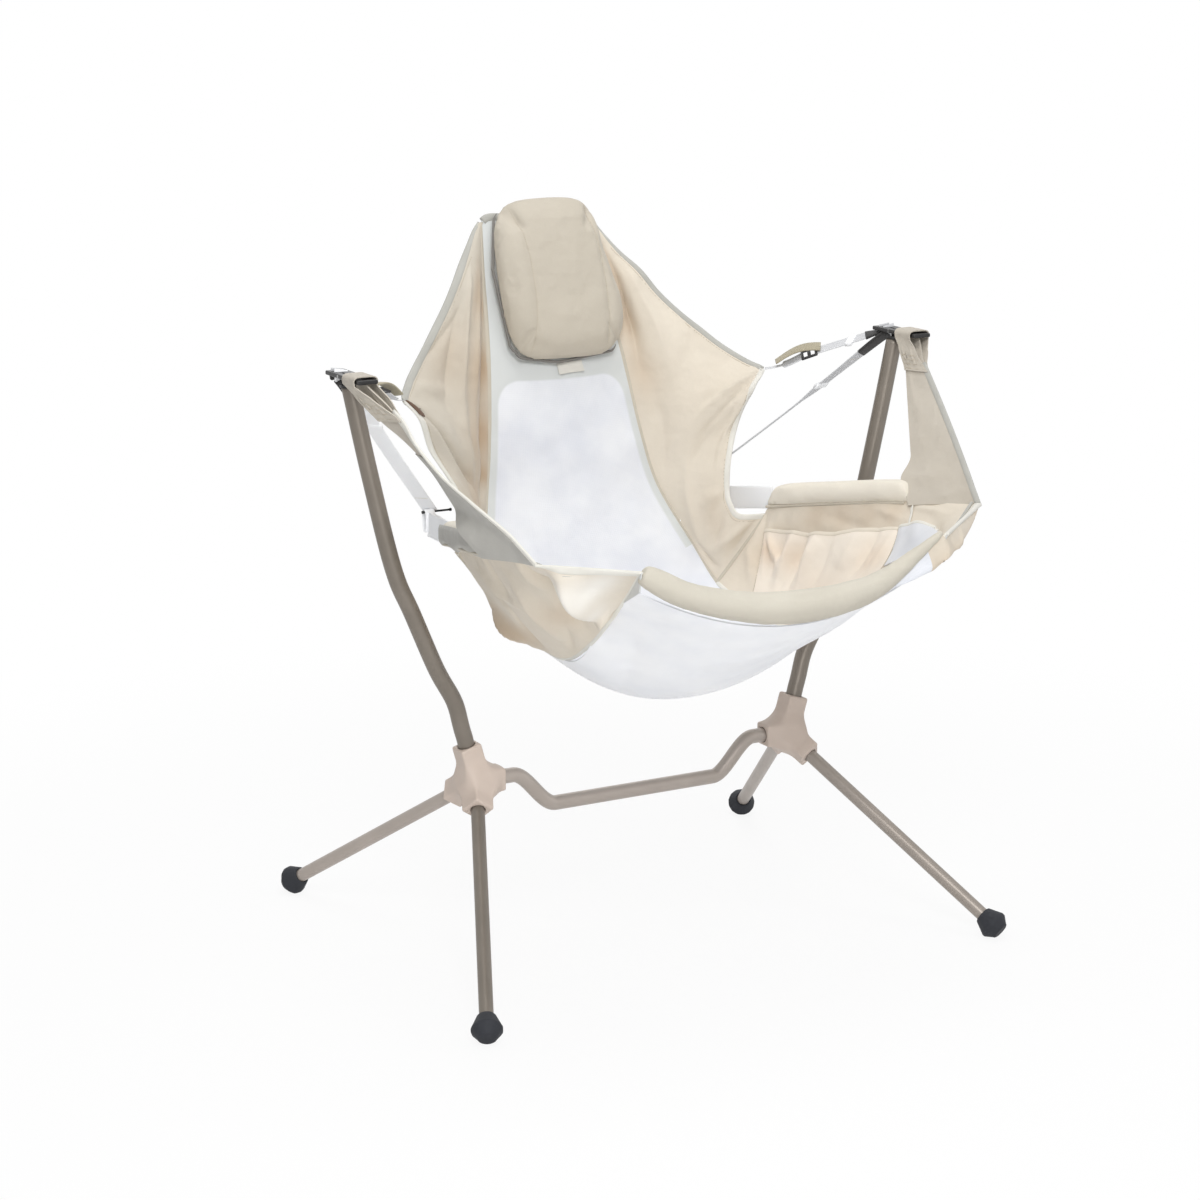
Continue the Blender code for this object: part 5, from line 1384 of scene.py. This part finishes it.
def armPanelGrid(side, out):
    # straight lines from the bracket's slot to the arm; the neck keeps the strap's width, the foot goes round the pad's end
    columns = strapLook["columns"]
    axis = armLine(side, 80)[strapLook["start"]:]
    base = respaced(axis - (0, 0, sling["padHalfHeight"] - 0.001), columns)
    pivot = sided(swingAt, side)
    reach = np.linspace(strapLook["front"] / 2, -strapLook["front"] / 2, columns + 1)[:, None]
    hung = pivot + (0, -strapLook["frontSlot"], -0.004) + reach * (0, 1, 0)
    t = np.linspace(0, 1, strapLook["rows"] + 1)[:, None, None]
    grid = hung[None] * (1 - t) + base[None] * t
    more = np.linalg.norm(base[-1] - base[0]) - strapLook["front"]
    wide = strapLook["front"] + more * np.maximum(0, t - strapLook["neck"]) / (1 - strapLook["neck"])
    grid = grid[:, :1] + (grid - grid[:, :1]) * wide / (strapLook["front"] + more * t)
    share = np.linspace(0, 1, columns + 1)[None, :, None]
    grid = grid + np.sin(pi * t) * share ** 3 * np.array((side * strapLook["flare"], -strapLook["flare"], 0))
    rounded = strapLook["corner"] * smoothRise(t - 0.77, 0.09) - (strapLook["corner"] + strapLook["seamLean"]) * smoothRise(t - 0.86, 0.14)
    rounded = rounded * (out == -side)
    back = rounded + strapLook["bow"] * np.sin(pi * t) ** 2
    sleeve = smoothRise(t - 0.72, 0.14) * (1 - smoothRise(share, 0.85))
    grid = grid + back * (1 - share) ** 3 * np.array((0, 1, 0)) + out * sleeve * np.array((strapLook["sleeve"], 0, 0))
    turns = np.array(strapLook["twist"][side])[:, None]
    turn = through(turns, t.ravel() * (len(turns) - 1))[:, None]
    middle = grid[:, columns // 2, None]
    off = grid - middle
    x = off[..., :1] * np.cos(turn) - off[..., 1:2] * np.sin(turn)
    y = off[..., :1] * np.sin(turn) + off[..., 1:2] * np.cos(turn)
    return middle + np.concatenate((x, y, off[..., 2:]), axis=-1)


def makeArmPanel(side, label):
    grid = armPanelGrid(side, -side)
    u, v = shares(grid)
    size = gridSize(grid)
    folds = (((0.86, 0.10), (0.82, 0.55), 0.0025, 0.006), ((0.99, 0.3), (0.90, 0.95), 0.002, 0.008), ((0.15, 0.1), (0.5, 0.3), 0.0015, 0.010),
             ((0.06, 0.2), (0.19, 0.3), 0.0016, 0.003), ((0.06, 0.75), (0.19, 0.62), 0.0016, 0.003))
    grid = grid + gridNormals(grid) * (foldField(u, v, size, folds) * smoothRise(u, 0.08) * smoothRise(1 - u, 0.04))[..., None]
    piece = clothPiece(f"arm_panel_{label}_cloth", grid, strapLook["thick"], armCloth, {"painted_glow_and_shade": 0 * u})
    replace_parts(overJoint(piece, side), f"arm_panel_{label}")
    declareCloth(grid)
    tape = edgeTape(f"arm_panel_{label}_tape", grid[12:, -1], grid[12:, -4], greyTape if side > 0 else paleTape, strapLook["tape"], 0.0044)
    overJoint(tape, side)
    facing = gridNormals(grid)          # towards -X on both sides
    outer = armPanelGrid(side, side)
    lining = outer[30:, 1:-1] - side * gridNormals(outer)[30:, 1:-1] * 0.0022
    liner = clothPiece(f"arm_panel_{label}_lining", lining, 0.0012, trimCloth)
    overJoint(liner, side)
    declareCloth(lining)
    # the strap's end goes round both bars of the bracket and is sewn down
    pivot = sided(swingAt, side)
    reach = np.linspace(strapLook["front"] / 2, -strapLook["front"] / 2, strapLook["columns"] + 1)
    over = np.array(((0.0168, -0.006), (0.0174, 0.0022), (0.0125, 0.0062), (0.0, 0.0066)))
    over = np.vstack((over * (-1, 1), over[-2::-1]))
    over = evenly(np.column_stack((over, 0 * over[:, 0])), 22)[:, :2]
    top = np.stack([pivot + (x, -strapLook["frontSlot"], z) + reach[:, None] * (0, 1, 0) for x, z in over])
    sewn = slice(5, 17)
    ease = smoothRise(np.linspace(0, 1, 12), 1.0)[:, None, None]
    apart = 0.0030 * facing[sewn] - 0.0090 * (1 - ease) * np.array((1, 0, 0))
    near, far = grid[sewn] + apart, grid[sewn] - apart
    ply = np.concatenate((near[::-1], top, far))
    fold = clothPiece(f"arm_panel_{label}_fold", ply, 0.0016, armCloth, {"painted_glow_and_shade": 0 * ply[..., 0]})
    overJoint(fold, side)
    declareCloth(ply)
    for number, row in enumerate((4, 6, 8, 10)):
        rise = facing[sewn][row, 3:-3]
        line = near[row, 3:-3] + rise * 0.0012
        tack = stitchRow(f"arm_panel_{label}_bartack_{number}", line, rise, threadFinish, 0.0026, 0.0020)
        overJoint(tack, side)


def makeRearStraps(side, label):
    pivot = sided(swingAt, side)
    joint = sided(strapLook["joint"], side)
    slot = pivot + (0, strapLook["rearSlot"], 0)
    middle = np.vstack((slot + (0, 0, 0.006), slot - (0, 0, 0.006), slot + (joint - slot) * 0.08 - (0, 0, 0.004),
                        slot + (joint - slot) * 0.5 - (0, 0, 0.002), joint + (0, 0, 0.006)))
    middle = evenly(middle, 60)
    turn = smoothRise(np.linspace(0, 1, 61), 0.35)[:, None]
    upper, lower = np.array(strapLook["rearWay"][side])
    later = smoothRise(np.linspace(0, 1, 61) - 0.38, 0.12)[:, None]         # it turns again below the buckle
    ways = np.array((side, 0, 0)) * (1 - turn) + (upper * (1 - later) + lower * later) * turn
    sizes = 0.82 + 0.18 * smoothRise(np.linspace(0, 1, 61) - 0.06, 0.16)
    # the left strap takes the pale webbing and the right strap, which faces up into the light, the darker grey copy:
    # painted shade
    web = flatStrap(f"rear_webbing_{label}_strap", middle, ways, strapLook["rearWide"], strapLook["thick"],
                    paleWebbing if side < 0 else greyAndShadedWebbing, sizes)
    overJoint(web, side)
    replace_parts(web, f"rear_webbing_{label}")
    declareCloth(middle[:, None] + np.linspace(-0.5, 0.5, 3)[None, :, None] * strapLook["rear"] * unit(ways)[:, None])
    rise = np.cross(unit(ways), unit(np.gradient(middle, axis=0)))
    for number, at in enumerate((9, 12, 54)):
        across = middle[at] + np.linspace(-0.45, 0.45, 14)[:, None] * strapLook["rear"] * unit(ways)[at]
        for face in (-1, 1):
            row = stitchRow(f"rear_webbing_{label}_stitches_{number}_{'in' if face < 0 else 'out'}",
                            across + face * rise[at] * 0.0013, face * rise[at], paleThread, 0.0022, 0.0017)
            overJoint(row, side)
    low, high = (np.array(corner) - (0, rootY, 0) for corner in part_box(f"strap_hook_{label}"))
    centre = (low + high) / 2
    reach = (high[0] - low[0]) / 2
    rod = np.linspace(centre + (side * reach, 0, 0), centre - (side * (reach + strapLook["rodMore"]), 0, 0), 24)
    ends = 1 + 0.5 * (np.abs(np.linspace(-1, 1, 24)) > 0.88)
    fit(sweepPiece(f"strap_hook_{label}_rod", rod, oval(14, 0.0016, 0.0016), (0, 0, 1), blackPlastic, ends), "seat", "black_plastic",
        f"strap_hook_{label}")

    keeper(f"rear_webbing_{label}_keeper", middle[2:11], ways[2:11], blackWebbing, side)
    lock(f"rear_webbing_{label}_lock", middle[22], unit(middle[23] - middle[21]), unit(ways)[22], side)

    # arm band: from the arm's end to the hook and on to the back's seam
    axis = armLine(side, 20)
    padEnd = axis[0] + unit(axis[0] - axis[1]) * 0.0012 - (0, 0, 0.003)
    sewn = sided(through(sling["stations"][:, :3], np.array((4.7,)))[0], side) + (side * 0.003, 0.0075, -0.003)
    bandJoint = centre - (0, 0, 0.0175)
    band = evenly((padEnd, (padEnd + bandJoint) / 2, bandJoint, sewn), 60)
    t = np.linspace(0, 1, 61)
    band = band + np.stack((0 * t, 0 * t, -0.004 * np.sin(pi * t) ** 2), axis=1)
    strip = flatStrap(f"arm_band_{label}_strap", band, np.tile((0, 0.0, 1.0), (61, 1)), strapLook["band"], strapLook["thick"], paleWebbing)
    fit(strip, "seat", "pale_webbing", f"arm_band_{label}")
    declareCloth(band[:, None] + np.linspace(-0.5, 0.5, 3)[None, :, None] * strapLook["band"] * np.array((0, 0, 1)))
    ring = np.array(((0.002, -0.030), (0.006, -0.016), (0.0055, -0.002), (0.0, 0.0036), (-0.0055, -0.002), (-0.006, -0.016), (-0.002, -0.030)))
    ring = evenly(np.column_stack((0 * ring[:, 0], ring)), 40) + centre + (side * 0.004, 0, 0)
    loop = flatStrap(f"arm_band_{label}_loop", ring, np.tile((1.0, 0, 0), (41, 1)), 0.016, 0.0016, paleWebbing)
    fit(loop, "seat", "pale_webbing")
    declareCloth(ring[:, None] + np.linspace(-0.5, 0.5, 3)[None, :, None] * 0.016 * np.array((1, 0, 0)))

    # grey trim along the outside of the arm
    line = respaced(armLine(side, 80)[1:58], 70)
    run = np.linspace(0, 1, 71)[:, None]
    level = np.linspace(0.013, -0.019, 15)[None] - 0.016 * np.linspace(1, 0, 15)[None] * smoothRise(run - 0.72, 0.28)
    wave = 0.004 * np.sin(12 * run) * np.linspace(0, 1, 15)[None] ** 2
    out = 0.0200 - 0.010 * (level / 0.019) ** 4 - 0.010 * smoothRise(run - 0.72, 0.28)
    trim = line[:, None] + np.stack((side * out, 0 * out, level + wave), axis=-1)
    piece = clothPiece(f"arm_trim_{label}_cloth", trim, 0.0016, trimCloth)
    fit(piece, "seat", "beige_cloth")
    declareCloth(trim)


def makeBackStraps(side, label):
    pivot = sided(swingAt, side)
    slot, corner = pivot + (0, strapLook["backSlot"], 0), sided(sling["wingSide"][0], side)
    run = corner - slot
    way = unit(run)
    across = unit(strapLook["backWay"][side])
    stop = slot + run * strapLook["adjusterShare"] - way * strapLook["adjuster"][0] / 2
    middle = evenly(np.vstack((slot + (0, 0, 0.006), slot - (0, 0, 0.005), slot + (stop - slot) * 0.2 - (0, 0, 0.003), stop)), 44)
    turn = smoothRise(np.linspace(0, 1, 45), 0.4)[:, None]
    ways = np.array((side, 0, 0)) * (1 - turn) + across * turn
    web = flatStrap(f"back_webbing_{label}_strap", middle, ways, strapLook["rear"], strapLook["thick"], greyAndShadedWebbing)
    ends = slot, stop
    overJoint(web, side, ends)
    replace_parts(web, f"back_webbing_{label}")
    declareCloth(middle[:, None] + np.linspace(-0.5, 0.5, 3)[None, :, None] * strapLook["rear"] * unit(ways)[:, None])

    keeper(f"back_webbing_{label}_keeper", middle[2:16], ways[2:16], blackWebbing, side, ends)
    lock(f"back_webbing_{label}_lock", middle[24], unit(middle[25] - middle[23]), unit(ways)[24], side, ends)

    # slotted glide: a rounded plate with two openings
    centre = slot + run * strapLook["adjusterShare"]
    length, width, thick = strapLook["adjuster"]
    flat = np.cross(way, across)
    axes = np.stack((way, np.cross(flat, way), unit(flat)))
    box = np.full(3, 0.024)
    points = latticeOf(centre - box, centre + box, 0.0008)
    plate = roundBox(points, centre, axes, (length / 2, width / 2 + 0.002, thick / 2), 0.0014)
    for at in (-0.0058, 0.0058):
        plate = np.maximum(plate, -roundBox(points, centre + way * at, axes, (0.0032, width / 2 - 0.001, 0.02), 0.0008))
    spots, quads = netSurface(plate, centre - box, 0.0008)
    fit(newPiece(f"strap_adjuster_{label}_glide", spots, [quads], blackPlastic, closed=True), "seat", "black_plastic", f"strap_adjuster_{label}")

    start = centre + way * (length / 2 - 0.004)
    line = np.linspace(start, corner - way * 0.002, 40)
    t = np.linspace(0, 1, 40)
    line = line - np.stack((0 * t, 0 * t, 0.004 * np.sin(pi * t)), axis=1)
    wide = 0.35 + 0.65 * smoothRise(0.56 - t, 0.06)
    strap = sweepPiece(f"corner_strap_{label}_strip", line, oval(16, strapLook["rear"] / 2, 0.0011, 4.0), np.cross(across, way), greyAndShadedWebbing, wide)
    fit(strap, "seat", "pale_webbing", f"corner_strap_{label}")
    declareCloth(line[:, None] + np.linspace(-0.5, 0.5, 3)[None, :, None] * (strapLook["rear"] * wide)[:, None, None] * across)
    first, last, length = strapLook["tab"]
    t = np.linspace(first, last, 40)
    tab = start + t[:, None] * way * length + np.stack((0 * t, 0 * t, 0.0045 + 0.008 * np.sin(pi * (t - first) / (last - first))), axis=1)
    piece = flatStrap(f"pull_tab_{label}_strap", tab, np.tile(across, (40, 1)), strapLook["rear"], 0.0034, tabStrap)
    fit(piece, "seat", "beige_cloth", f"pull_tab_{label}")
    declareCloth(tab[:, None] + np.linspace(-0.5, 0.5, 3)[None, :, None] * strapLook["rear"] * across)


def makeTag():
    line = middleRail(2.035, 2.17, 24) + (0.016, -0.0022, 0)
    grid = line[:, None] + np.linspace(-0.0215, 0.0215, 24)[None, :, None] * np.array((1, 0, 0.06))
    u, v = shares(grid)
    grid = grid - np.stack((0 * u, 0.0035 * u ** 2 + 0.0010 * np.sin(5 * v + 2 * u), 0 * u), axis=-1)
    piece = clothPiece("plain_tag_label", grid, 0.0009, paleTape)
    fit(piece, "seat", "pale_webbing", "plain_tag")
    declareCloth(grid)


for side, label in ((-1, "left"), (1, "right")):
    makeArmPanel(side, label)
    makeRearStraps(side, label)
    makeBackStraps(side, label)
makeTag()
print("straps made")
